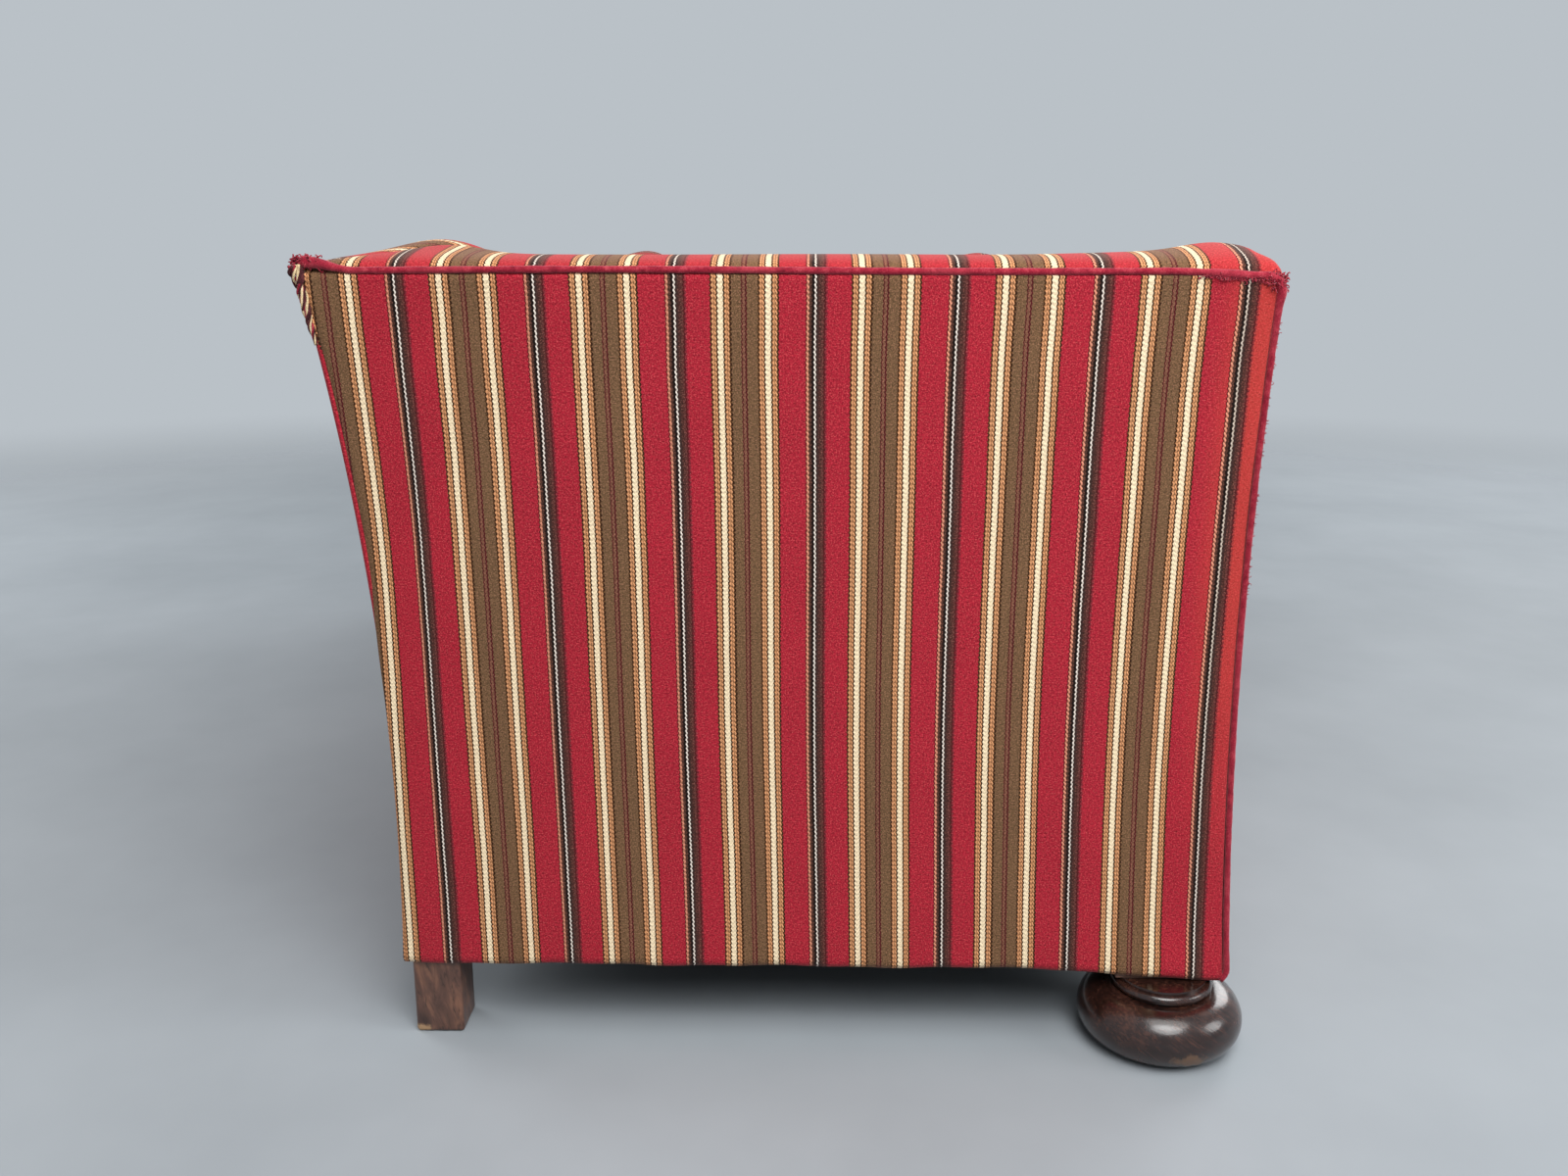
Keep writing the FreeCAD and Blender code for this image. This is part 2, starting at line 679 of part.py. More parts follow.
lining_x = f"{side_at('Size.foot_height')} - Size.lining_inset"
lining = block(
    "lining",
    (f"-({lining_x})", lining_x),
    ("At.front + Size.lining_inset", rear_at("Size.foot_height") + " - Size.lining_inset"),
    ("Size.foot_height - Size.lining_thickness", "Size.foot_height"),
)
foot_clearances = []
for side, sign in SIDES.items():
    foot_clearances.append(block(
        f"{side}_post_clearance",
        sided(sign, side_at("Size.foot_height", "At.side_frame + Size.fit_gap"), "1.2 * At.side_waist"),
        ("At.front", "At.post_rear + Size.fit_gap"),
        ("0", "At.rail_bottom"),
    ))
    foot_clearances.append(block(
        f"{side}_leg_clearance",
        sided(sign, "At.leg_x - Size.leg_size - Size.fit_gap", "1.2 * At.side_waist"),
        ("At.leg_y - Size.leg_size - Size.fit_gap", "Size.body_depth"),
        ("0", "At.rail_bottom"),
    ))
keep(cut("dust_cover", lining, group("foot_clearance", foot_clearances)), "dust_cover")

for side, sign in SIDES.items():
    hessian_out = "At.frame_inner - Size.fit_gap"
    hessian_in = f"{hessian_out} - Size.lining_thickness"
    pad_y = ("At.frame_front", "At.seat_rear - Size.fit_gap")
    pad_z = ("At.pad_bottom", "At.frame_top")
    keep(block(f"{side}_hessian", sided(sign, hessian_in, hessian_out), pad_y, pad_z), f"arm_hessian_{side}")
    pad_x = sided(sign, "At.seat_half", f"{hessian_in} - Size.fit_gap")
    keep(block(f"{side}_arm_pad", pad_x, pad_y, pad_z), f"inside_arm_pad_{side}")

# Padded tops, with a crown and a rounded inner shoulder, mitred at the rear corners.
crown_arcs = {1: "Size.shoulder_radius", 2: "Size.crown_radius"}
top_outer = side_at("At.pad_base", "At.skin")
top_rear = rear_at("At.pad_base", "At.skin")
top_inner = back_at("At.pad_base")
top_length = f"{top_rear} - At.front"
top_height = "2 * Size.top_pad"
nose_top = "Size.welt_height - Size.nose_drop + Size.nose_radius"
for side, sign in SIDES.items():
    outer = f"{sign} * {top_outer}"
    inner = f"{sign} * At.seat_half"
    profile = [
        (inner, "At.pad_base"),
        (inner, "Size.welt_height - Size.shoulder_drop"),
        (f"{sign} * (At.seat_half + Size.shoulder_width)", "Size.welt_height + Size.shoulder_rise"),
        (outer, "Size.welt_height"),
        (outer, "At.pad_base"),
    ]
    bow = "right" if sign > 0 else "left"
    arcs = {index: (radius, bow) for index, radius in crown_arcs.items()}
    crowned = prism(f"{side}_arm_crown", "XZ_Plane", profile, arcs, "At.front", top_length)
    nose = [
        ("At.front", "At.pad_base"),
        ("At.front", "Size.welt_height - Size.nose_drop"),
        ("At.front + Size.nose_radius", nose_top),
        (top_rear, nose_top),
        (top_rear, "At.pad_base"),
    ]
    start = "At.seat_half" if sign > 0 else f"-{top_outer}"
    rounding = prism(
        f"{side}_arm_nose", "YZ_Plane", nose, {1: ("Size.nose_radius", "right")}, start,
        f"{top_outer} - At.seat_half",
    )
    mitred = [(inner, "At.front"), (outer, "At.front"), (outer, top_rear), (inner, top_inner)]
    ending = prism(f"{side}_arm_mitre", "XY_Plane", mitred, {}, "At.pad_base", top_height)
    keep(common(f"{side}_arm_top", crowned, rounding, ending), f"arm_top_pad_{side}")

    facing = block(
        f"{side}_facing_blank",
        sided(sign, "At.seat_half", "1.2 * At.side_waist"),
        ("At.front", "At.front + Size.front_pad"),
        ("Size.foot_height", "At.frame_top"),
    )
    keep(cut(f"{side}_facing", facing, side_trim[side]), f"arm_front_pad_{side}")

seat_start = "-At.seat_half + Size.fit_gap"
seat_length = "Size.seat_width - 2 * Size.fit_gap"
back_profile = [
    (back_at("At.pad_bottom"), "At.pad_bottom"),
    (back_at("At.frame_top"), "At.frame_top"),
    (rear_at("At.frame_top", "At.back_stop"), "At.frame_top"),
    (rear_at("At.pad_bottom", "At.back_stop"), "At.pad_bottom"),
]
back_arc = {2: ("Size.rear_curve_radius + At.back_stop", "left")}
keep(prism("back_pad", "YZ_Plane", back_profile, back_arc, seat_start, seat_length), "inside_back_pad")

back_top_profile = [
    (top_inner, "At.pad_base"),
    (top_inner, "Size.welt_height - Size.shoulder_drop"),
    (f"{top_inner} + Size.shoulder_width", "Size.welt_height + Size.shoulder_rise"),
    (top_rear, "Size.welt_height"),
    (top_rear, "At.pad_base"),
]
back_arcs = {index: (radius, "right") for index, radius in crown_arcs.items()}
back_crown = prism("back_crown", "YZ_Plane", back_top_profile, back_arcs, f"-{top_outer}", f"2 * {top_outer}")
back_mitres = [
    (f"-{top_outer}", top_rear),
    ("-At.seat_half", top_inner),
    ("At.seat_half", top_inner),
    (top_outer, top_rear),
]
back_ending = prism("back_mitre", "XY_Plane", back_mitres, {}, "At.pad_base", top_height)
keep(common("back_top", back_crown, back_ending), "back_top_pad")

border_y = ("At.front", "At.front + Size.front_pad")
border_z = ("Size.foot_height", "Size.deck_height")
keep(block("border", seat_x, border_y, border_z), "seat_front_border")

# Outside covers, which follow the hollow curves, and the welts along their edges.
cover_z = ("Size.foot_height", "Size.welt_height - At.welt_low")
for side, sign in SIDES.items():
    near_y = "At.welt_front + At.welt_low"
    far_y = "1.5 * Size.body_depth"
    shape = [
        (near_y, cover_z[0]),
        (far_y, cover_z[0]),
        (far_y, cover_z[1]),
        ("At.welt_front + Size.welt_bend", cover_z[1]),
        (near_y, "Size.welt_height - Size.welt_bend"),
    ]
    blank = prism(
        f"{side}_cover_blank", "YZ_Plane", shape, {3: ("Size.welt_bend - At.welt_low", "left")},
        "At.seat_half" if sign > 0 else "-1.2 * At.side_waist", "1.2 * At.side_waist - At.seat_half",
    )
    panel = common(f"{side}_cover_panel", blank, side_shell[side])
    keep(cut(f"{side}_cover", panel, rear_face), f"outside_arm_cover_{side}")
back_panel = common("back_panel", block("back_cover_blank", wide, deep, cover_z), rear_shell)
keep(cut("back_cover", back_panel, side_trim["left"], side_trim["right"]), "outside_back_cover")

rear_welt_y = number(rear_at("Size.welt_height", "At.welt_depth"))
for side, sign in SIDES.items():
    radius = sheet.get("welt_radius")
    bend = sheet.get("welt_bend")
    turn_z = sheet.get("welt_height") - bend
    low_z = sheet.get("foot_height")
    middle_z = (turn_z + low_z) / 2
    upper, middle, lower = (
        FreeCAD.Vector(sign * number(side_at(str(z), "At.welt_depth")), at.welt_front, z)
        for z in (turn_z, middle_z, low_z)
    )
    edge_down = Part.Arc(upper, middle, lower)
    down = edge_down.tangent(edge_down.FirstParameter)[0]
    rearward = FreeCAD.Vector(0, 1, 0)
    centre = upper + rearward * bend
    corner = centre - down * bend
    halfway = centre - (rearward + down) * (bend / math.sqrt(2))
    tail = FreeCAD.Vector(corner.x, rear_welt_y - 2 * radius - sheet.get("fit_gap"), corner.z)
    path = Part.Wire([
        Part.LineSegment(tail, corner).toShape(),
        Part.Arc(corner, halfway, upper).toShape(),
        edge_down.toShape(),
    ])
    ring = Part.Wire(Part.Circle(tail, rearward, radius).toShape())
    welt = doc.addObject("Part::Feature", f"{side}_welt")
    welt.Shape = path.makePipeShell([ring], True, False)
    keep(welt, f"arm_welt_{side}")

back_welt = rod(
    "back_edge_welt", "x", "Size.welt_radius", "2 * " + side_at("Size.welt_height", "At.welt_depth"),
    "0", rear_at("Size.welt_height", "At.welt_depth"), "Size.welt_height",
)
keep(back_welt, "back_welt")

# Loose seat cushions: drawn-in sides and a crown each way.
for index, label in enumerate(CUSHIONS):
    middle = f"({index - (len(CUSHIONS) - 1) / 2} * (At.cushion_width + Size.cushion_gap))"
    low_x, high_x = f"{middle} - At.cushion_width / 2", f"{middle} + At.cushion_width / 2"
    plan = [
        (low_x, "At.cushion_front"),
        (high_x, "At.cushion_front"),
        (high_x, "At.cushion_rear"),
        (low_x, "At.cushion_rear"),
    ]
    sides = {corner: ("Size.cushion_side_radius", "right") for corner in range(4)}
    filling = prism(f"{label}_filling", "XY_Plane", plan, sides, "At.cushion_base", "Size.cushion_height")
    top = "At.cushion_base + Size.cushion_height"
    across = rod(
        f"{label}_crown_across", "y", "Size.cushion_crown_across", "4 * Size.body_depth",
        middle, "0", top + " - Size.cushion_crown_across",
    )
    along = rod(
        f"{label}_crown_along", "x", "Size.cushion_crown_along", "8 * At.side_waist",
        "0", "(At.cushion_front + At.cushion_rear) / 2", top + " - Size.cushion_crown_along",
    )
    keep(common(f"{label}_cushion", filling, across, along), f"seat_cushion_{label}")

doc.recompute()

for item in doc.Objects:
    if "Invalid" in item.State or "Error" in item.State:
        raise RuntimeError(f"{item.Label} did not build: {item.State}")
os.makedirs("parts", exist_ok=True)
for node in nodes:
    if node.Shape.isNull() or not node.Shape.isValid() or not node.Shape.Solids:
        raise RuntimeError(f"{node.Label} is not a closed solid")
    node.Shape.exportStep(os.path.join("parts", node.Label + ".step"))
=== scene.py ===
import bmesh
import bpy
import math
import numpy as np
from mathutils import Matrix, Vector


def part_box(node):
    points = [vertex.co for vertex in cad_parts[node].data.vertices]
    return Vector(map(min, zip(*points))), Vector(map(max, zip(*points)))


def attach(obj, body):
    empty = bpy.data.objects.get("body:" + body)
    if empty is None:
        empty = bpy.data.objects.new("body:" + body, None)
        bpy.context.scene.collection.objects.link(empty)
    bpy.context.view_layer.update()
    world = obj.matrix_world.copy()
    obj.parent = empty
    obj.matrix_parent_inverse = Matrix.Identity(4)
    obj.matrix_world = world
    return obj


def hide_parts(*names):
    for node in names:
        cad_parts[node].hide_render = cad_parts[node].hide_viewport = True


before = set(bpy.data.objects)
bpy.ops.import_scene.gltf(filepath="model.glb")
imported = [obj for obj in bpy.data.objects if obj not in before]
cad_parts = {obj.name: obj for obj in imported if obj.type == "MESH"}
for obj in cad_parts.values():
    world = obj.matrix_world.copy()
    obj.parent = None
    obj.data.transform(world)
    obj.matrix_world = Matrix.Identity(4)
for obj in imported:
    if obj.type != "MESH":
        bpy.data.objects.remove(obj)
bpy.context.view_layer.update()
scene = bpy.context.scene
scene.view_settings.view_transform = "Standard"

SIDES = {"left": -1, "right": 1}
CUSHIONS = ("left", "centre", "right")

# All places are in metres. X runs along the sofa, and the front faces -Y.
# What the frame gives, with a little clearance for the padding:
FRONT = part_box("seat_front_border")[0].y
SEAT_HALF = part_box("inside_arm_pad_right")[0].x
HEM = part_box("outside_arm_cover_right")[0].z
DECK_LOW, DECK_Z = (corner.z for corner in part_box("seat_deck_pad"))
PAD_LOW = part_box("inside_back_pad")[0].z + 0.0005
PAD_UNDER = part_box("back_top_pad")[0].z + 0.0006
WELT_Z = sum(corner.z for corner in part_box("back_welt")) / 2
FOOT_X, FOOT_Y, _ = sum(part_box("bun_foot_right"), Vector()) / 2

# Hollow outsides of the arms and back: narrowest place, its height, and the curve's radius.
SIDE_WAIST = 0.920
SIDE_WAIST_Z = 0.320
SIDE_RADIUS = 3.520
REAR_WAIST = FRONT + 0.805
REAR_WAIST_Z = 0.190
REAR_RADIUS = 3.440

# Leaning inside back: its depth at one height, and how far it goes back for each metre up.
LEAN_DEPTH = 0.614
LEAN_Z = 0.430
LEAN_SLOPE = math.tan(math.radians(10.7))

# Slightly hollow front edge of the arms: its deepest place, the height of that, and its radius.
EDGE_DEPTH = 0.006
EDGE_Z = 0.520
EDGE_RADIUS = 8.0

# The arms, the piping and the stripes.
ARM_WIDTH = 0.1605
CROWN_Z = 0.7612
WELT_R = 0.0030
WELT_BEND = 0.014
REPEAT = 0.1213


def side(z):
    """How far out the hollow outside of an arm is at a height."""
    return SIDE_WAIST + SIDE_RADIUS - np.sqrt(SIDE_RADIUS ** 2 - (z - SIDE_WAIST_Z) ** 2)


def rear(z):
    """How far back the hollow outside of the back is at a height."""
    return REAR_WAIST + REAR_RADIUS - np.sqrt(REAR_RADIUS ** 2 - (z - REAR_WAIST_Z) ** 2)


def lean(z):
    """Where the leaning inside back is at a height."""
    return FRONT + LEAN_DEPTH + (z - LEAN_Z) * LEAN_SLOPE


def front_edge(z):
    """Where the front edge of the arms is at a height."""
    return FRONT + EDGE_DEPTH - (z - EDGE_Z) ** 2 / (2 * EDGE_RADIUS)


def smooth(low, high, x):
    """A soft step from 0 at one value to 1 at another."""
    t = np.clip((x - low) / (high - low), 0, 1)
    return t * t * (3 - 2 * t)


def hump(x, middle, width):
    """A soft bump, 1 in its middle."""
    return np.exp(-((x - middle) / width) ** 2)


def round_over(distance, radius):
    """How far a rounded edge falls away, at a distance in from it."""
    short = np.clip(radius - distance, 0, radius)
    return radius - np.sqrt(np.maximum(radius ** 2 - short ** 2, 0))


def ripple(a, b, seed, longest=0.5, shortest=0.1):
    """A gentle unevenness between about -1 and 1 over two lengths in metres."""
    rng = np.random.default_rng(seed)
    total = 0
    for _ in range(9):
        wave = 2 * math.pi / rng.uniform(shortest, longest)
        turn = rng.uniform(0, 2 * math.pi)
        shift = rng.uniform(0, 2 * math.pi)
        total = total + np.sin(wave * (a * math.cos(turn) + b * math.sin(turn)) + shift)
    return total / 4


def hem_height(y):
    """The lower edge of the side covers, which slopes down to the ledge of the front foot."""
    lower = 0.0100 * np.clip((FOOT_Y + 0.125 - y) / 0.172, 0, 1) ** 1.1
    return HEM - lower + 0.0007 * np.sin(y * 31 + 1.0) + 0.0005 * np.sin(y * 83)


def side_stripe(y, z):
    """Stripe repeats along a side, counted towards the front; the cloth is pulled a little askew."""
    count = 2.5185 - 8.2409 * y - 0.1733 * y ** 2 + 0.0959 * z + 0.0619 * y * z
    count = count + 0.0174 * hump(z, 0.32, 0.17) - 0.010 * smooth(0.66, 0.74, z)
    return count - 0.045 * smooth(0.32, 0.39, y) * hump(z, 0.46, 0.2)


def long_stripe(x):
    """Stripe repeats along the length, with a brown band in the middle."""
    return x / REPEAT + 0.17


def run_length(points):
    """Metres along a line of points, from the first to each of them."""
    return np.r_[0, np.cumsum(np.linalg.norm(np.diff(points, axis=0), axis=1))]


# Meshes.

def linked(name, data):
    """A new object in the scene."""
    obj = bpy.data.objects.new(name, data)
    scene.collection.objects.link(obj)
    return obj


def mesh_object(name, vertices, faces, repeats, along, wear_and_shade=0.0):
    """A smooth mesh whose UV map holds stripe repeats and metres along the stripes."""
    mesh = bpy.data.meshes.new(name)
    mesh.from_pydata(vertices, [], faces)
    uv = mesh.uv_layers.new(name="cloth")
    pairs = np.stack([repeats, along], 1)[np.concatenate(faces)]
    uv.data.foreach_set("uv", pairs.astype(np.float32).ravel())
    wear = mesh.attributes.new("wear_and_shade", "FLOAT", "POINT")
    wear.data.foreach_set("value", np.broadcast_to(wear_and_shade, len(mesh.vertices)).astype(np.float32))
    mesh.shade_smooth()
    mesh.validate()
    return linked(name, mesh)


def outward(obj):
    """Turns the faces of a closed mesh outwards."""
    work = bmesh.new()
    work.from_mesh(obj.data)
    bmesh.ops.recalc_face_normals(work, faces=work.faces)
    work.to_mesh(obj.data)
    work.free()
    return obj


def grid_faces(rows, cols, ring=False, loop=False, flip=False):
    """Four-sided faces between rows of points, with the columns or the rows joined round where asked."""
    faces = []
    for i in range(rows if loop else rows - 1):
        for j in range(cols if ring else cols - 1):
            here = i * cols
            after = (i + 1) % rows * cols
            k = (j + 1) % cols
            quad = (here + j, here + k, after + k, after + j)
            faces.append(quad[::-1] if flip else quad)
    return faces


def capped_faces(rows, cols):
    """Faces of a row of rings, with the first and last rings filled."""
    last = (rows - 1) * cols
    return grid_faces(rows, cols, ring=True) + [tuple(range(cols))[::-1], tuple(range(last, last + cols))]


def grid_object(name, points, faces, *values):
    """A mesh over rows of points, with values for each point, or for a whole row or column at once."""
    spread = [np.broadcast_to(value, points.shape[:2]).ravel() for value in values]
    return mesh_object(name, points.reshape(-1, 3), faces, *spread)


def sheet_object(name, points, repeats, along, flip=False, wear_and_shade=0.0):
    """An open sheet through a grid of points."""
    rows, cols = points.shape[:2]
    return grid_object(name, points, grid_faces(rows, cols, flip=flip), repeats, along, wear_and_shade)


def loft_object(name, points, repeats, along, wear_and_shade=0.0):
    """A closed form: each row of points is a ring, and the first and last rings are filled."""
    return outward(grid_object(name, points, capped_faces(*points.shape[:2]), repeats, along, wear_and_shade))


def resample(points, count, closed=False):
    """Points spaced evenly along a smooth line through the given ones."""
    given = np.asarray(points, dtype=float)
    if closed:
        ring = np.vstack([given[-1:], given, given[:2]])
    else:
        ring = np.vstack([2 * given[:1] - given[1:2], given, 2 * given[-1:] - given[-2:-1]])
    t = np.linspace(0, 1, 24, endpoint=False)[:, None]
    spans = []
    for a, b, c, d in zip(ring, ring[1:], ring[2:], ring[3:]):
        square = 2 * a - 5 * b + 4 * c - d
        cube = 3 * b - 3 * c + d - a
        spans.append(0.5 * (2 * b + (c - a) * t + square * t ** 2 + cube * t ** 3))
    dense = np.vstack([*spans, ring[-2]])
    steps = run_length(dense)
    places = np.linspace(0, steps[-1], count, endpoint=not closed)
    return np.stack([np.interp(places, steps, dense[:, k]) for k in range(dense.shape[1])], 1)


def tube_rings(path, radii, sides, closed):
    """Rings of points round a path."""
    if closed:
        ways = np.roll(path, -1, axis=0) - np.roll(path, 1, axis=0)
    else:
        ways = np.gradient(path, axis=0)
    ways /= np.linalg.norm(ways, axis=1)[:, None]
    turn = np.linspace(0, 2 * math.pi, sides, endpoint=False)[:, None]
    normal = np.cross(ways[0], [0.31, 0.52, 0.79])
    rings = []
    for point, way, radius in zip(path, ways, np.broadcast_to(radii, len(path))):
        normal = normal - way * (normal @ way)
        normal /= np.linalg.norm(normal)
        other = np.cross(way, normal)
        rings.append(point + radius * (np.cos(turn) * normal + np.sin(turn) * other))
    return np.array(rings)


def tube_object(name, paths, sides=12, closed=False):
    """One mesh of tubes along several paths, each a pair of points and radii."""
    vertices, faces, repeats, along = [], [], [], []
    for path, radii in paths:
        rings = tube_rings(path, radii, sides, closed)
        rows = len(rings)
        strip = grid_faces(rows, sides, ring=True, loop=True) if closed else capped_faces(rows, sides)
        base = len(vertices)
        faces.extend(tuple(base + index for index in face) for face in strip)
        vertices.extend(rings.reshape(-1, 3))
        repeats.extend(np.tile(np.arange(sides) / sides, rows))
        along.extend(np.repeat(run_length(path), sides))
    return outward(mesh_object(name, vertices, faces, repeats, along))


# Materials.

def linear(red, green, blue):
    """A colour given in screen values from 0 to 255."""
    channels = []
    for value in (red, green, blue):
        c = value / 255
        channels.append(c / 12.92 if c <= 0.04045 else ((c + 0.055) / 1.055) ** 2.4)
    return (*channels, 1.0)


class Nodes:
    """Short ways to lay out the nodes of a material or a world."""

    def __init__(self, name, kind="materials", shader="Principled BSDF"):
        self.owner = getattr(bpy.data, kind).new(name)
        self.owner.use_nodes = True
        self.tree = self.owner.node_tree
        self.shader = self.tree.nodes[shader]

    def add(self, kind, **values):
        node = self.tree.nodes.new(kind)
        for key, value in values.items():
            setattr(node, key, value)
        return node

    def put(self, socket, value):
        if isinstance(value, bpy.types.NodeSocket):
            self.tree.links.new(value, socket)
        else:
            socket.default_value = value

    def wire(self, node, *values, **named):
        """Fills a node's inputs, in order or by name, and gives its first output."""
        for socket, value in zip(node.inputs, values):
            self.put(socket, value)
        for key, value in named.items():
            self.put(node.inputs[key.replace("_", " ")], value)
        return node.outputs[0]

    def math(self, operation, a, b=0.0, c=0.0):
        return self.wire(self.add("ShaderNodeMath", operation=operation), a, b, c)

    def plus(self, a, b):
        return self.math("ADD", a, b)

    def minus(self, a, b):
        return self.math("SUBTRACT", a, b)

    def times(self, a, b):
        return self.math("MULTIPLY", a, b)

    def weigh(self, *pairs):
        """A sum of values, each times its weight."""
        total = self.times(*pairs[0])
        for value, weight in pairs[1:]:
            total = self.plus(total, self.times(value, weight))
        return total

    def span(self, value, low, high, to_low=0.0, to_high=1.0):
        """A soft step from one result to another between two values."""
        node = self.add("ShaderNodeMapRange", interpolation_type="SMOOTHSTEP")
        return self.wire(node, value, low, high, to_low, to_high)

    def mix(self, factor, a, b, blend="MIX"):
        node = self.add("ShaderNodeMix", data_type="RGBA", blend_type=blend)
        for number, value in ((0, factor), (6, a), (7, b)):
            self.put(node.inputs[number], value)
        return node.outputs[2]

    def vector(self, x, y, z):
        return self.wire(self.add("ShaderNodeCombineXYZ"), x, y, z)

    def vector_math(self, operation, *values):
        node = self.add("ShaderNodeVectorMath", operation=operation)
        self.wire(node, *values)
        return node.outputs["Value" if operation == "LENGTH" else "Vector"]

    def noise(self, vector, scale, detail=2.0, roughness=0.5, distortion=0.0):
        node = self.add("ShaderNodeTexNoise")
        return self.wire(node, Vector=vector, Scale=scale, Detail=detail, Roughness=roughness,
                         Distortion=distortion)

    def ramp(self, value, stops, mode="LINEAR"):
        """The colour and the alpha between stops."""
        node = self.add("ShaderNodeValToRGB")
        ramp = node.color_ramp
        ramp.interpolation = mode
        for element, stop in zip(ramp.elements, (stops[0], stops[-1])):
            element.position, element.color = stop
        for place, colour in stops[1:-1]:
            ramp.elements.new(place).color = colour
        self.wire(node, value)
        return node.outputs[0], node.outputs[1]

    def place(self, scale=(1, 1, 1), turn=(0, 0, 0)):
        """Object coordinates, turned and then stretched."""
        source = self.add("ShaderNodeTexCoord").outputs["Object"]
        turned = self.wire(self.add("ShaderNodeMapping"), Vector=source, Rotation=turn)
        return self.wire(self.add("ShaderNodeMapping"), Vector=turned, Scale=scale)

    def bump(self, height, strength, distance):
        node = self.add("ShaderNodeBump")
        normal = self.wire(node, Height=height, Strength=strength, Distance=distance)
        self.put(self.shader.inputs["Normal"], normal)

    def finish(self, colour, roughness, **values):
        self.wire(self.shader, Base_Color=colour, Roughness=roughness, **values)
        return self.owner


# Yarns of the striped cloth: colour on screen, and how far each stands up as a cord.
CREAM = ((250, 227, 190), 1.0)
WHITE = ((236, 224, 212), 0.8)
GOLD = ((224, 158, 110), 0.6)
ROSE = ((222, 146, 118), 0.6)
EDGE = ((50, 26, 9), 0.2)
WINE = ((80, 22, 26), 0.1)
MAROON = ((84, 18, 20), 0.1)
BLACK = ((22, 10, 6), 0.1)
SOOT = ((58, 38, 34), 0.1)
DEEP_PLUM = ((82, 24, 26), 0.1)
RED = ((166, 29, 48), 0.0)
BROWN = ((110, 82, 56), 0.0)
RUSSET = ((118, 76, 58), 0.0)
UMBER = ((70, 42, 32), 0.0)
COCOA = ((70, 38, 33), 0.0)
PLUM = ((90, 46, 42), 0.0)
FADING = ((124, 32, 44), 0.0)

# One repeat of the stripes, and where each begins as a share of it.
STRIPES = (
    (0.0000, CREAM), (0.0135, EDGE), (0.0250, GOLD), (0.0395, EDGE), (0.0430, GOLD), (0.0570, EDGE),
    (0.0705, BROWN), (0.1410, WINE), (0.1510, RUSSET), (0.1710, WINE), (0.1810, BROWN),
    (0.2585, EDGE), (0.2725, GOLD), (0.2865, EDGE), (0.2900, GOLD), (0.3040, EDGE),
    (0.3155, CREAM), (0.3535, EDGE), (0.3660, GOLD), (0.3805, EDGE), (0.3840, GOLD), (0.3980, EDGE),
    (0.4120, RED), (0.5995, MAROON), (0.6085, ROSE), (0.6215, UMBER), (0.6425, BLACK), (0.6625, WHITE),
    (0.6755, SOOT), (0.6925, COCOA), (0.7130, PLUM), (0.7290, DEEP_PLUM), (0.7390, FADING),
    (0.7520, RED), (0.9195, EDGE), (0.9315, GOLD), (0.9485, EDGE), (0.9520, GOLD), (0.9640, EDGE),
    (0.9765, CREAM),
)
# A colour ramp holds 32 stops, so the repeat is split in two where the first red begins.
SPLIT = 0.412
# Metres along a cord for one turn of its plies.
TWIST = 0.0044


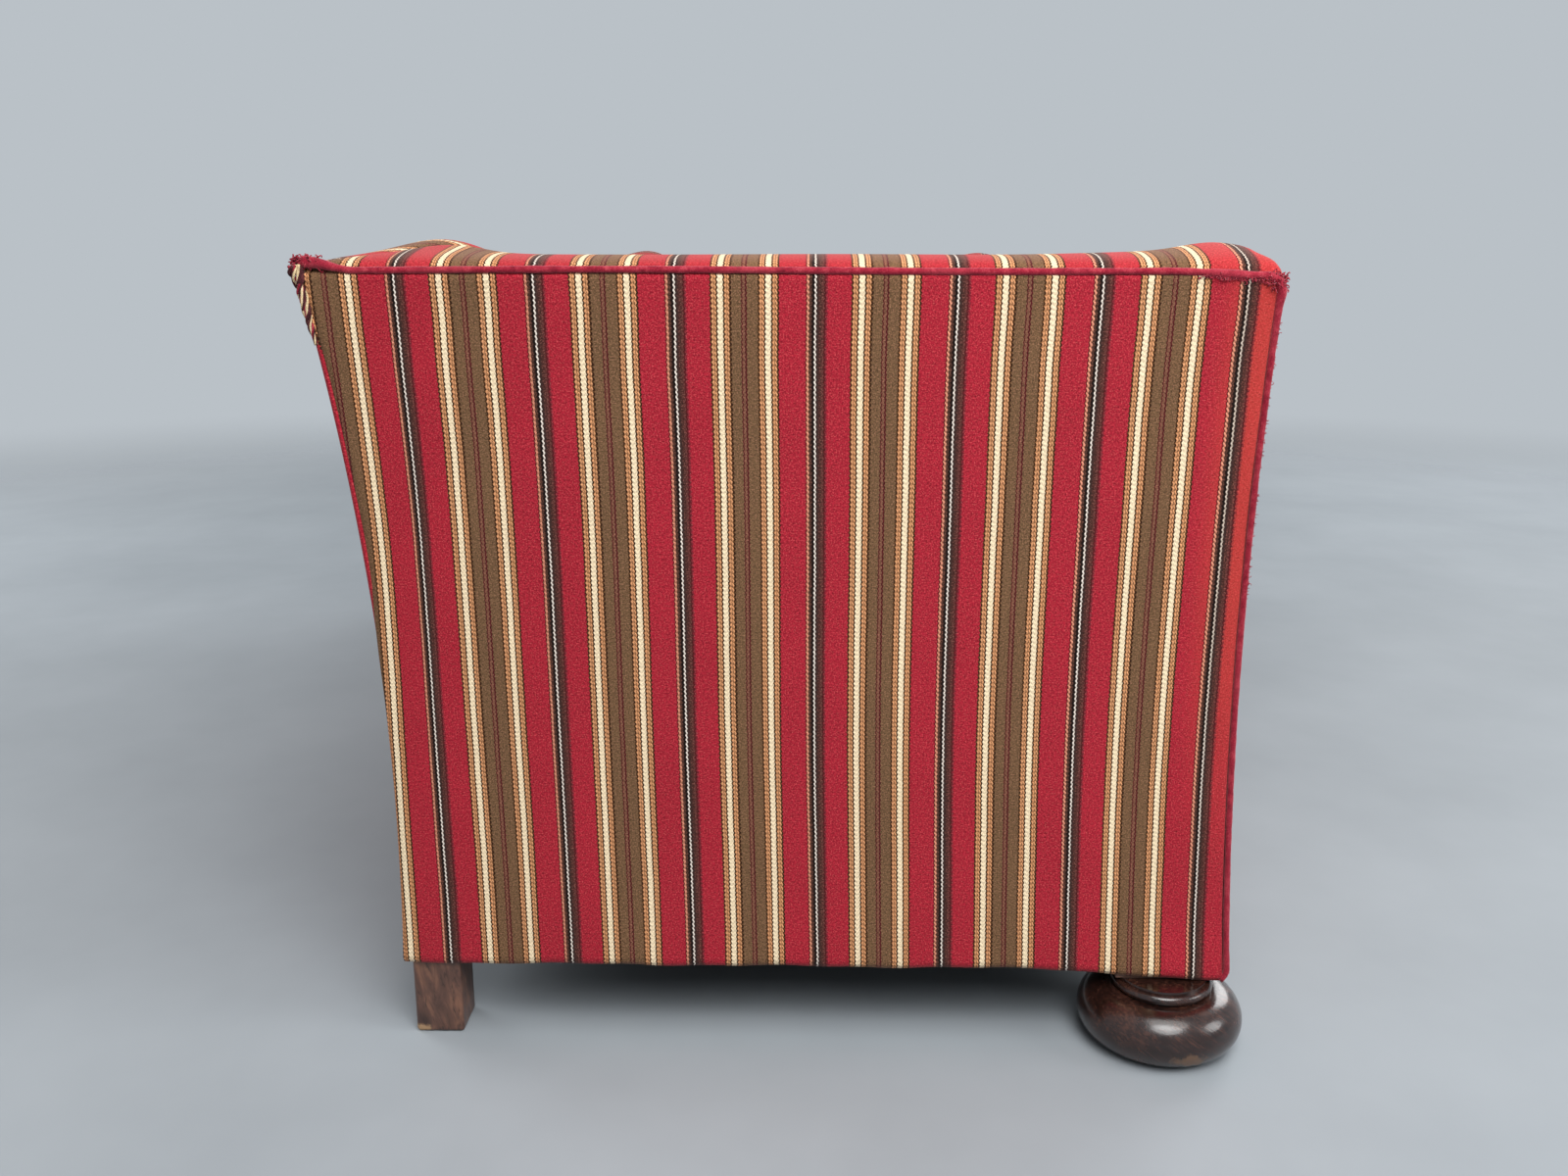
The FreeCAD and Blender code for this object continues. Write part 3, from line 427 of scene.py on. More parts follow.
def striped_wool():
    """Felted stripes with raised twisted cords, laid by the UV map."""
    m = Nodes("striped_wool")
    split = m.add("ShaderNodeSeparateXYZ")
    m.wire(split, m.add("ShaderNodeUVMap", uv_map="cloth").outputs[0])
    repeats, along = split.outputs[0], split.outputs[1]
    across = m.times(repeats, REPEAT)
    cloth = m.vector(across, along, 0.0)

    # Threads wander a little, and the cords have beaded edges.
    wander = m.noise(m.vector(m.times(across, 30.0), m.times(along, 28.0), 0.0), 1.0)
    beads = m.math("SINE", m.times(along, 2 * math.pi / TWIST))
    shift = m.math("MULTIPLY_ADD", m.minus(wander, 0.5), 0.006, m.times(beads, 0.0032))
    place = m.math("FRACT", m.plus(repeats, shift))
    stops = [(start, (*linear(*colour)[:3], cord)) for start, (colour, cord) in STRIPES]
    first, first_cord = m.ramp(place, [stop for stop in stops if stop[0] < SPLIT], "CONSTANT")
    second, second_cord = m.ramp(place, [stop for stop in stops if stop[0] >= SPLIT], "CONSTANT")
    later = m.math("GREATER_THAN", place, SPLIT)
    colour = m.mix(later, first, second)
    cord = m.plus(first_cord, m.times(later, m.minus(second_cord, first_cord)))

    # Twisted yarns lie in slanting plies, with painted shade in the grooves between them, and the dark yarns
    # beside them show as dashes.
    twisted = m.math("GREATER_THAN", cord, 0.5)
    slant = m.weigh((along, 1 / TWIST), (m.math("PINGPONG", across, 0.0019), 1 / 0.0042))
    ply = m.math("SINE", m.times(slant, 2 * math.pi))
    depth = m.times(m.minus(1.18, cord), twisted)
    # Painted shade: a dark band along each turn of the plies, stronger on the lower cords.
    colour = m.mix(m.times(m.span(ply, -0.9, 0.1, 1.0, 0.0), depth), colour, linear(96, 58, 24))
    dash = m.times(m.math("COMPARE", cord, 0.2, 0.06), m.span(beads, 0.35, 0.95, 0.0, 0.3))
    colour = m.mix(dash, colour, linear(150, 104, 58))

    # Felted wool: a grain with pale specks that are painted highlights on the fibre tips, and slow changes
    # of tone.
    grain = m.noise(cloth, 430.0, 2.0, 0.6)
    fine = m.noise(cloth, 760.0, 2.0, 0.7)
    slow = m.noise(cloth, 14.0)
    tone = m.plus(m.weigh((grain, 1.5), (fine, 2.4), (slow, 0.24)), -1.07)
    grey = m.wire(m.add("ShaderNodeCombineColor"), tone, tone, tone)
    colour = m.mix(m.minus(0.92, m.times(cord, 0.55)), colour, grey, "MULTIPLY")
    felt = m.math("LESS_THAN", cord, 0.05)
    # Painted highlights: pale specks on the felt stand for light caught by the fibres.
    fibre_highlights = m.times(m.span(fine, 0.52, 0.68), m.times(felt, 0.5))
    colour = m.mix(fibre_highlights, colour, m.mix(0.45, colour, linear(226, 150, 132)))

    # Where it is handled and lit, the red has faded. The pale cords there are darkened too: painted shade
    # that holds them down under the strong light on the tops.
    wear_and_shade = m.add("ShaderNodeAttribute", attribute_name="wear_and_shade").outputs["Fac"]
    parts = m.add("ShaderNodeSeparateColor")
    m.wire(parts, colour)
    redness = m.span(m.minus(parts.outputs[0], parts.outputs[1]), 0.10, 0.26)
    faded = m.times(m.times(wear_and_shade, redness), felt)
    colour = m.mix(faded, colour, m.mix(0.45, colour, linear(214, 84, 58)))
    # Painted shade: the pale cords are darkened by this value, most on the tops.
    painted_cord_shade = m.times(wear_and_shade, m.math("GREATER_THAN", cord, 0.7))
    colour = m.mix(painted_cord_shade, colour, m.mix(1.0, colour, (0.62, 0.55, 0.48, 1.0), "MULTIPLY"))

    m.bump(m.weigh((cord, 0.8), (grain, 0.9), (m.times(ply, twisted), 0.3)), 0.6, 0.0008)
    return m.finish(colour, m.span(grain, 0.3, 0.7, 0.95, 0.82), Specular_IOR_Level=0.18, Sheen_Weight=0.16,
                    Sheen_Roughness=0.45, Sheen_Tint=linear(255, 205, 195))


def plain_wool(name, base, pale, sheen):
    """Felted plain cloth, such as the piping's."""
    m = Nodes(name)
    where = m.place()
    grain = m.noise(where, 900.0, 3.0, 0.6)
    coarse = m.noise(where, 130.0)
    slow = m.noise(where, 22.0)
    slant = m.add("ShaderNodeTexWave", wave_type="BANDS", bands_direction="DIAGONAL")
    m.wire(slant, Vector=where, Scale=210.0, Distortion=1.6)
    tone = m.weigh((grain, 0.55), (coarse, 0.45))
    shaded = [0.62 * channel for channel in base]
    colour, _ = m.ramp(tone, [(0.30, linear(*shaded)), (0.5, linear(*base)), (0.72, linear(*pale))])
    colour = m.mix(m.span(slow, 0.45, 0.75, 0.0, 0.35), colour, linear(*pale))
    m.bump(m.plus(grain, m.times(slant.outputs["Fac"], 0.35)), 0.6, 0.0006)
    return m.finish(colour, m.span(grain, 0.3, 0.7, 0.96, 0.84), Specular_IOR_Level=0.16, Sheen_Weight=sheen,
                    Sheen_Roughness=0.4, Sheen_Tint=linear(255, 200, 210))


def woven(name, dark, pale, pitch, strength=0.7):
    """A plain weave of coarse yarns, such as jute, hessian or lining."""
    m = Nodes(name)
    where = m.place()
    split = m.add("ShaderNodeSeparateXYZ")
    m.wire(split, where)
    x, y, z = (split.outputs[number] for number in range(3))
    warp = m.math("SINE", m.times(m.plus(x, m.times(z, 0.37)), 2 * math.pi / pitch))
    weft = m.math("SINE", m.times(m.plus(y, m.times(z, 0.61)), 2 * math.pi / pitch))
    weave = m.math("MULTIPLY_ADD", m.times(warp, weft), 0.5, 0.5)
    yarn = m.noise(where, 0.6 / pitch, 3.0, 0.6)
    slow = m.noise(where, 16.0)
    tone = m.weigh((weave, 0.4), (yarn, 0.6))
    colour, _ = m.ramp(tone, [(0.25, linear(*dark)), (0.72, linear(*pale))])
    colour = m.mix(m.span(slow, 0.4, 0.8, 0.0, 0.3), colour, linear(*dark))
    m.bump(m.plus(weave, m.times(yarn, 0.5)), strength, pitch * 0.3)
    return m.finish(colour, m.span(yarn, 0.3, 0.7, 0.95, 0.8), Specular_IOR_Level=0.2, Sheen_Weight=0.08)


def wood(name, dark, mid, pale, stretch, turn, swirl, polish, worn_colour, worn_spot, worn_reach):
    """Grain drawn out along one way, with pores, stain and a rubbed spot on the outer side."""
    m = Nodes(name)
    plain = m.place()
    bands = m.noise(m.place(stretch, turn), 1.0, 3.0, 0.55, swirl)
    pores = m.noise(m.place(tuple(3.0 * s for s in stretch), turn), 1.0, 2.0, 0.6)
    stain = m.noise(plain, 30.0, 3.0, 0.55)
    tone = m.weigh((bands, 0.62), (stain, 0.38))
    colour, _ = m.ramp(tone, [(0.34, linear(*dark)), (0.52, linear(*mid)), (0.68, linear(*pale))])
    colour = m.mix(m.span(pores, 0.56, 0.70, 0.0, 0.6), colour, linear(*[0.55 * c for c in dark]))
    away = m.vector_math("SUBTRACT", m.vector_math("ABSOLUTE", plain), worn_spot)
    distance = m.vector_math("LENGTH", m.vector_math("DIVIDE", away, worn_reach))
    ragged = m.times(m.minus(m.noise(plain, 90.0, 4.0, 0.65), 0.5), 1.6)
    wear = m.span(m.plus(distance, ragged), 1.05, 0.55)
    colour = m.mix(m.times(wear, 0.75), colour, linear(*worn_colour))
    m.bump(m.weigh((bands, 0.5), (pores, -0.6)), 0.35, 0.0006)
    rough = m.plus(m.span(stain, 0.3, 0.7, polish, polish + 0.16), m.times(wear, 0.3))
    return m.finish(colour, rough, Specular_IOR_Level=0.5, Coat_Weight=0.35, Coat_Roughness=0.1)


def steel(name):
    """Drawn wire with spots of rust."""
    m = Nodes(name)
    drawn = m.noise(m.place((400.0, 400.0, 60.0)), 1.0)
    rust = m.noise(m.place(), 60.0, 4.0, 0.6)
    colour, _ = m.ramp(drawn, [(0.3, linear(92, 90, 88)), (0.7, linear(150, 147, 142))])
    colour = m.mix(m.span(rust, 0.58, 0.72, 0.0, 0.6), colour, linear(96, 58, 36))
    m.bump(drawn, 0.2, 0.0004)
    return m.finish(colour, m.span(rust, 0.4, 0.7, 0.35, 0.7), Metallic=m.span(rust, 0.58, 0.72, 1.0, 0.3))


STRIPED = striped_wool()
PIPING = plain_wool("piping_wool", (150, 28, 49), (192, 76, 86), 0.6)
CREAM_YARN = plain_wool("cream_yarn", (222, 196, 152), (246, 232, 204), 0.2)
PLUM_YARN = plain_wool("plum_yarn", (70, 30, 34), (112, 58, 58), 0.2)
DECK_CLOTH = woven("deck_cloth", (96, 72, 48), (140, 110, 78), 0.0016)
LINING = woven("black_lining", (20, 18, 17), (44, 41, 39), 0.0012, 0.5)
JUTE = woven("jute_weave", (120, 90, 52), (186, 152, 100), 0.0028)
BUN_WOOD = wood(
    "bun_oak", (22, 12, 10), (46, 26, 21), (82, 50, 38),
    stretch=(300.0, 18.0, 430.0), turn=(-0.64, 0.0, 0.0), swirl=0.3, polish=0.15,
    worn_colour=(122, 88, 60), worn_spot=(FOOT_X + 0.072, abs(FOOT_Y) + 0.012, 0.017),
    worn_reach=(0.030, 0.021, 0.0095))
LEG_WOOD = wood(
    "leg_beech", (62, 40, 32), (98, 66, 53), (134, 92, 70),
    stretch=(70.0, 70.0, 22.0), turn=(0.12, 0.10, 0.0), swirl=1.6, polish=0.42,
    worn_colour=(188, 150, 110), worn_spot=(0.921, 0.384, 0.004), worn_reach=(0.010, 0.014, 0.007))
FRAME_WOOD = wood(
    "frame_beech", (150, 108, 68), (184, 142, 96), (208, 170, 122),
    stretch=(60.0, 60.0, 60.0), turn=(0.3, 0.2, 0.1), swirl=0.4, polish=0.5,
    worn_colour=(150, 108, 68), worn_spot=(0.90, 0.3, 0.40), worn_reach=(0.004, 0.004, 0.004))
SPRING_STEEL = steel("spring_steel")


def dress(piece, material, slot, *nodes, body="frame"):
    """Gives a piece its material and its body, and hides the nodes that it stands for. The slot is not used.
    """
    piece.data.materials.clear()
    piece.data.materials.append(material)
    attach(piece, body)
    if nodes:
        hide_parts(*nodes)
    return piece


PANEL_TOP = WELT_Z - 0.0044


def panel_rows(count, top_rows=((1.0016, 0.0, 0.0014), (1.0040, 0.0, 0.0042))):
    """Rows of a hanging panel: share of its height, lift of a turned-in row, how far in it lies."""
    hem_rows = [(0.0, 0.0060, 0.0060), (0.0, 0.0004, 0.0040)]
    rows = hem_rows + [(h, 0.0, 0.0) for h in np.linspace(0, 1, count)] + list(top_rows)
    return [np.array(part)[:, None] for part in zip(*rows)]


def hem_lip(z, low, lift):
    """The rounded fold at a hem."""
    return np.where(lift > 0, 0.0, 0.0026 * np.clip(1 - (z - low) / 0.0045, 0, 1) ** 2)


def hangs_free(z, low):
    """1 where a hanging panel is free to ripple, and 0 at its hem and its piping."""
    return smooth(0, 0.05, z - low) * smooth(0, 0.04, PANEL_TOP - z)


# Outside arm panels: hollow, with a turned-in hem and edges tucked behind the piping.
def arm_panel(label, sign):
    share, lift, row_in = panel_rows(150)
    # Each column: its place from front to rear, and how far its edge is tucked in.
    front_edges = [(-0.0036, 0.0064), (-0.0018, 0.0030)]
    rear_edges = [(1.0013, 0.0012), (1.0022, 0.0040)]
    cols = front_edges + [(t, 0.0) for t in np.linspace(0, 1, 150)] + rear_edges
    t, col_in = (np.array(part)[None, :] for part in zip(*cols))
    guess = HEM + np.clip(share, 0, 1) * (PANEL_TOP - HEM)
    begin = front_edge(guess) + 0.0064
    end = rear(guess) - 0.0012 - 0.0050 * smooth(0.38, 0.52, guess)
    y = begin + t * (end - begin)
    low = hem_height(y)
    z = low + share * (PANEL_TOP - low) + lift
    inner = hangs_free(z, low)
    out = side(z) - row_in - col_in - hem_lip(z, low, lift) + 0.0009 * ripple(y, z, 11) * inner
    out = out + 0.0035 * hump(y, FOOT_Y - 0.005, 0.045) * hump(z, low, 0.035)
    wear_and_shade = 0.75 * (1 - smooth(0.020, 0.060, y - front_edge(z))) * smooth(0.10, 0.50, z)
    points = np.stack([sign * out, y, z], 2)
    return sheet_object(f"outside_arm_{label}", points, side_stripe(y, z), z, flip=sign < 0, wear_and_shade=wear_and_shade)


for label, sign in SIDES.items():
    panel = dress(arm_panel(label, sign), STRIPED, "striped_wool", f"outside_arm_cover_{label}")


# Crowns of the arms and back: soft raised corners, shared where they meet.
def crown_rise(x, y):
    """How far the padding stands up at the corners of the tops."""
    x = np.abs(x)
    rise = 0.0140 * hump(y, 0.338, 0.052) * hump(x, 0.815, 0.070)
    rise = rise + 0.0085 * hump(y, FRONT + 0.043, 0.040) * hump(x, 0.866, 0.055)
    return rise + 0.0030 * hump(y, FRONT + 0.09, 0.10) * hump(x, 0.866, 0.060)


# An arm's padding in cross-section, as distances from the middle and heights.
ARM_SECTION = (
    (0.9402, 0.7440), (0.9400, 0.7490), (0.9345, 0.7540), (0.9190, 0.7586), (0.8920, CROWN_Z),
    (0.8520, 0.7610), (0.8230, 0.7572), (0.8010, 0.7472), (0.7862, 0.7300), (0.7808, 0.7050),
    (0.7804, 0.6600), (0.7804, 0.5500), (0.7804, 0.4300), (0.7804, 0.3300), (0.7810, 0.2720),
    (0.7900, PAD_LOW), (0.8300, PAD_LOW), (0.8600, 0.2680), (0.8622, 0.4000), (0.8622, 0.6000),
    (0.8626, 0.7000), (0.8700, PAD_UNDER), (0.9000, PAD_UNDER), (0.9320, PAD_UNDER),
    (0.9370, 0.7240), (0.9390, 0.7360),
)
MITRE_Z = 0.722
REAR_TOP = rear(WELT_Z) - 0.0015
REAR_IN = lean(MITRE_Z)


def mitre_y(x, z):
    """Where an arm's padding ends against the back's."""
    return lean(np.minimum(z, MITRE_Z)) + np.maximum(0, x - SEAT_HALF) / ARM_WIDTH * (REAR_TOP - REAR_IN)


def crease(left):
    """How far the padding is drawn in, at a distance from a mitred seam."""
    return 0.0040 * np.exp(-left / 0.007)


def top_share(z):
    """1 on the tops of the arms and back, and 0 on their insides."""
    return smooth(0.690, 0.752, z)


def arm_pad(label, sign):
    section = resample(ARM_SECTION, 170, closed=True)
    x0, z0 = section[:, 0], section[:, 1]
    nose_steps = [0.0, 0.004, 0.009, 0.014, 0.019, 0.025, 0.031, 0.038]
    mitre_steps = [0.966, 0.976, 0.984, 0.991, 0.996, 1.0]
    t = np.r_[nose_steps, np.linspace(0.046, 0.955, 120), mitre_steps][:, None]
    top = top_share(z0)
    begin = front_edge(z0) + 0.0015 + (1 - top) * 0.0105
    end = mitre_y(x0, z0)
    y = begin + t * (end - begin)
    ahead = np.maximum(y - front_edge(z0), 0)
    nose = round_over(ahead, 0.012 + 0.010 * smooth(0.20, 0.75, (0.941 - x0) / 0.05))
    drawn = crease(np.maximum(end - y, 0)) + 0.0025 * np.exp(-(y - begin) / 0.004) * (1 - top)
    z = z0 + top * (crown_rise(x0, y) - nose - drawn) + 0.0006 * top * ripple(x0, y, 5)
    x = x0 + (1 - top) * (x0 < 0.80) * (drawn + 0.0003 * ripple(y, z0, 6))
    along = run_length(section) + WELT_Z
    # On the tops, and more towards the nose, this value fades the red and darkens the pale cords as painted
    # shade.
    wear_and_shade = top * (0.22 + 0.30 * (1 - smooth(0.02, 0.09, ahead)))
    points = np.stack([sign * x, y, z], 2)
    return loft_object(f"arm_pad_{label}", points, side_stripe(y, 0.745), along, wear_and_shade)


def back_section():
    """The back's padding in cross-section, as places in Y and heights."""
    outer = rear(WELT_Z) - 0.0046
    crown = [(outer, 0.7440), (outer, 0.7490), (outer - 0.0055, 0.7540), (outer - 0.021, 0.7586),
             (outer - 0.052, CROWN_Z + 0.0004), (outer - 0.095, 0.7610), (lean(0.757) + 0.042, 0.7572),
             (lean(0.747) + 0.0195, 0.7472), (lean(0.730) + 0.0052, 0.7300)]
    inside = [(lean(z) - 0.010 * math.sin(math.pi * (z - 0.30) / 0.42) * (z > 0.30), z)
              for z in (0.705, 0.66, 0.60, 0.52, 0.44, 0.37, 0.32, 0.272)]
    hidden = [(lean(PAD_LOW) + 0.012, PAD_LOW), (0.250, PAD_LOW), (0.325, 0.268), (0.328, 0.40),
              (0.336, 0.60), (0.350, 0.70), (0.365, PAD_UNDER), (0.395, PAD_UNDER),
              (outer - 0.008, PAD_UNDER), (outer - 0.003, 0.7240), (outer - 0.001, 0.7360)]
    return resample(crown + inside + hidden, 190, closed=True)


def back_pad():
    section = back_section()
    y0, z0 = section[:, 0], section[:, 1]
    mitre_steps = [0.966, 0.976, 0.984, 0.990, 0.995, 0.998, 1.0]
    half = np.r_[np.linspace(0, 0.955, 110), mitre_steps]
    t = np.r_[-half[::-1], half[1:]][:, None]
    top = top_share(z0)
    mitre = np.clip((y0 - REAR_IN) / (REAR_TOP - REAR_IN), 0, 1.02)
    reach = SEAT_HALF - 0.0006 + mitre * ARM_WIDTH * smooth(0.70, 0.73, z0)
    x = t * reach
    drawn = crease(reach - np.abs(x))
    swell = 0.0012 * ripple(x, z0, 8, 0.6, 0.2)
    z = z0 + top * (crown_rise(x, y0) - drawn) + 0.0006 * top * ripple(x, y0, 7)
    y = y0 + (1 - top) * (drawn + swell) * (y0 < lean(z0) + 0.02)
    points = np.stack([x, y, z], 2)
    # On the top this value fades the red and darkens the pale cords as painted shade.
    return loft_object("back_pad", points, long_stripe(x), run_length(section), 0.25 * top)


for label, sign in SIDES.items():
    pad = dress(arm_pad(label, sign), STRIPED, "striped_wool",
                f"arm_top_pad_{label}", f"inside_arm_pad_{label}")
dress(back_pad(), STRIPED, "striped_wool", "back_top_pad", "inside_back_pad")


# Fronts of the arms: padded, rounded towards the seat, tucked behind the piping outside.
def arm_front(label, sign):
    share, lift, row_in = panel_rows(130, ((1.0025, 0.0, 0.0012), (1.0060, 0.0, 0.0060)))
    rounded = np.linspace(0, 0.09, 10)
    level = np.linspace(0.11, 0.96, 40)
    s = np.r_[-0.03, rounded, level, 0.975, 0.988, 1.0, 1.006]
    held = np.clip(s, 0, 1)
    guess = SEAT_HALF + held * 0.145
    low = HEM - 0.0098 * smooth(0.79, 0.87, guess)
    top = 0.7300 + 0.0040 * smooth(0.90, 0.94, guess)
    z = low + share * (top - low) + lift
    inner = SEAT_HALF + 0.0003
    outer = side(z) - 0.0046
    x = np.where(s < 0, inner + 0.0018, inner + s * (outer - inner))
    turn = np.where(s < 0, 0.019, round_over(x - inner, 0.012))
    swell = 0.0035 * np.sin(math.pi * held) ** 0.7 * smooth(0, 0.08, z - low) * smooth(0, 0.05, top - z)
    y = front_edge(z) + row_in + turn - swell + 0.0045 * smooth(0.99, 1.006, s) + hem_lip(z, low, lift)
    points = np.stack([sign * x, y, z], 2)
    return sheet_object(f"arm_front_{label}", points, long_stripe(sign * x), z, flip=sign > 0)


for label, sign in SIDES.items():
    facing = dress(arm_front(label, sign), STRIPED, "striped_wool", f"arm_front_pad_{label}")


# Outside back: hollow, wrapped round the rear corners to a sewn seam on each side.
def outside_back():
    share, lift, row_in = panel_rows(130)
    bend = 0.0045
    # Each column: its place, its turn round the corner, and how far its end is tucked in and forward.
    corner = [(1.0, a, 0.0, 0.0) for a in np.linspace(0, math.pi / 2, 7)[1:]]
    corner += [(1.0, math.pi / 2, 0.0010, 0.0010), (1.0, math.pi / 2, 0.0042, 0.0014)]
    level = [(p, 0.0, 0.0, 0.0) for p in np.linspace(-1, 1, 260)]
    cols = [(-1.0, *rest) for _, *rest in corner[::-1]] + level + corner
    place, turn, tuck, ahead = (np.array(part)[None, :] for part in zip(*cols))
    low = HEM + 0.0008 * np.sin(9 * place) + 0.0005 * np.sin(31 * place)
    z = low + share * (PANEL_TOP - low) + lift
    under = 0.0012 * (1 - smooth(0.38, 0.52, z)) * np.sin(turn)
    round_off = np.maximum(bend - row_in - hem_lip(z, low, lift) - under, -0.0015)
    x = place * (side(z) - bend + round_off * np.sin(turn) - tuck)
    inner = hangs_free(z, low) * smooth(0, 0.05, 1 - np.abs(place))
    y = rear(z) - bend + round_off * np.cos(turn) - ahead + 0.0010 * ripple(x, z, 21, 0.7, 0.2) * inner
    repeats = long_stripe(place * (side(z) - bend + bend * turn))
    return sheet_object("outside_back", np.stack([x, y, z], 2), repeats, z, flip=True)


panel = dress(outside_back(), STRIPED, "striped_wool", "outside_back_cover")


# Front border: stretched down from the deck's edge to the hem.
def front_border():
    # How far back each row lies behind the front edge, and its height.
    turned_in = [(0.0105, 0.0870), (0.0040, 0.0806), (0.0012, 0.0806), (0.0002, 0.0830), (0.0, 0.0870)]
    level = [(0.0, z) for z in np.linspace(0.095, 0.282, 40)]
    rounded = [(0.0004, 0.2880), (0.0022, 0.2935), (0.0055, 0.2972), (0.0095, 0.2988),
               (0.0118, 0.2986), (0.0120, 0.2900)]
    rows = np.array(turned_in + level + rounded)
    depth, z = rows[:, :1], rows[:, 1:]
    end = SEAT_HALF - 0.001
    xs = np.r_[-end, 0.0008 - end, np.linspace(0.003 - end, end - 0.003, 200), end - 0.0008, end]
    tuck = 0.004 * (np.abs(xs) > end - 0.002) + 0.004 * (np.abs(xs) > end - 0.0005)
    swell = 0.0007 * ripple(xs, z, 31, 0.5, 0.15)
    swell = swell - 0.0016 * np.sin(math.pi * np.clip((z - 0.08) / 0.21, 0, 1))
    y = front_edge(z) + depth + tuck + swell * (depth < 0.001)
    points = np.stack(np.broadcast_arrays(xs, y, z), 2)
    return sheet_object("front_border", points, long_stripe(xs), run_length(rows)[:, None])


dress(front_border(), STRIPED, "striped_wool", "seat_front_border")


# Deck under the cushions: plain cloth over the stuffing.
def deck():
    end = SEAT_HALF - 0.0008
    rear_edge = lean(DECK_Z) - 0.0065
    ys = np.r_[FRONT + 0.0128, np.linspace(FRONT + 0.017, rear_edge - 0.0025, 60), rear_edge]
    xs = np.r_[-end, np.linspace(0.0052 - end, end - 0.0052, 150), end]
    x, y = np.meshgrid(xs, ys)
    edge = (y == ys[0]) | (y == ys[-1]) | (np.abs(x) == end)
    z = DECK_Z - 0.0012 + 0.0008 * ripple(x, y, 41, 0.35, 0.12) - 0.0035 * edge
    upper = np.stack([x, y, z], 2)
    lower = np.stack([x, y, np.full_like(x, DECK_LOW + 0.0012)], 2)
    points = np.concatenate([upper, lower[:, ::-1]], axis=1)
    return loft_object("deck", points, points[..., 0] / REPEAT, points[..., 1])


dress(deck(), DECK_CLOTH, "deck_cloth", "seat_deck_pad")


# Dust cover: thin lining stretched under the seat, cut away at the posts and feet.
def dust_cover():
    low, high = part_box("dust_cover")
    post_x = 0.871
    post_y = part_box("front_post_left")[1].y + 0.0015
    leg_x = 0.8715
    leg_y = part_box("rear_post_left")[0].y - 0.0015
    xs = np.unique(np.r_[np.linspace(low.x, high.x, 90), -post_x, post_x, -leg_x, leg_x])
    ys = np.unique(np.r_[np.linspace(low.y, high.y, 44), post_y, leg_y])
    x, y = np.meshgrid(xs, ys)
    inside = np.minimum(np.minimum(x - low.x, high.x - x), np.minimum(y - low.y, high.y - y))
    z = HEM - 0.0004 - 0.0016 * smooth(0, 0.08, inside) - 0.0005 * ripple(x, y, 51, 0.3, 0.1)
    spots = np.stack([x, y, z], 2).reshape(-1, 3)

    def cut_away(face):
        mid_x, mid_y, _ = spots[list(face)].mean(axis=0)
        at_post = abs(mid_x) > post_x and mid_y < post_y
        at_leg = abs(mid_x) > leg_x and mid_y > leg_y
        return at_post or at_leg

    faces = [face for face in grid_faces(len(ys), len(xs), flip=True) if not cut_away(face)]
    return mesh_object("dust_lining", spots, faces, spots[:, 0], spots[:, 1])


lining = dress(dust_cover(), LINING, "black_lining", "dust_cover")


# Piping along the arm tops and down their fronts, and along the back.
NOSE_Y = front_edge(WELT_Z) + 0.002 + WELT_BEND


def welt_droop(y):
    """How far the piping along an arm's top hangs down towards its front."""
    return 0.0040 * smooth(NOSE_Y + 0.085, NOSE_Y, y)


def uneven(path, seed, swellings):
    """Radii along a piping, a little uneven, with swellings at given shares of its length."""
    run = run_length(path)
    slow = ripple(run, 0 * run, seed, 0.09, 0.02)
    quick = ripple(run, 0 * run, seed + 1, 0.02, 0.006)
    radii = WELT_R * (1 + 0.06 * slow + 0.05 * quick)
    for middle, width, amount in swellings:
        radii = radii + amount * hump(run / run[-1], middle, width)
    return radii


def arm_piping(label, sign):
    y = np.linspace(REAR_TOP - 0.004, NOSE_Y + 0.004, 60)
    z = WELT_Z + 0.0008 * np.sin(9 * y) + 0.0075 * smooth(0.385, 0.43, y) - welt_droop(y)
    top_line = np.stack([y, z], 1)
    corner_z = WELT_Z - WELT_BEND
    turn = np.linspace(0.15, math.pi / 2, 9)
    bend = np.stack([NOSE_Y - WELT_BEND * np.sin(turn), corner_z - 0.004 + WELT_BEND * np.cos(turn)], 1)
    z = np.linspace(corner_z - 0.014, 0.0712, 80)
    down = np.stack([front_edge(z) + 0.002 + 0.006 * smooth(0.084, 0.071, z) ** 2, z], 1)
    y, z = np.vstack([top_line, bend, down]).T
    out = side(z) - 0.0015 + 0.0020 * hump(z, 0.085, 0.02) - 0.004 * smooth(0.40, 0.43, y)
    path = resample(np.stack([sign * out, y, z], 1), 420)
    swellings = [(0.0, 0.016, 0.0026), (0.527, 0.010, 0.0012), (0.558, 0.012, 0.0016)]
    return tube_object(f"arm_piping_{label}", [(path, uneven(path, 61, swellings))])


def back_piping():
    end = side(WELT_Z) - 0.002
    x = np.linspace(-end, end, 500)
    z = WELT_Z + 0.0007 * np.sin(7 * x) + 0.006 * smooth(end - 0.06, end, np.abs(x))
    path = np.stack([x, np.full_like(x, REAR_TOP), z], 1)
    swellings = [(0.0, 0.02, 0.0015), (1.0, 0.02, 0.0015)]
    return tube_object("back_piping", [(path, uneven(path, 62, swellings))])


for label, sign in SIDES.items():
    dress(arm_piping(label, sign), PIPING, "welt_wool", f"arm_welt_{label}")
dress(back_piping(), PIPING, "welt_wool", "back_welt")


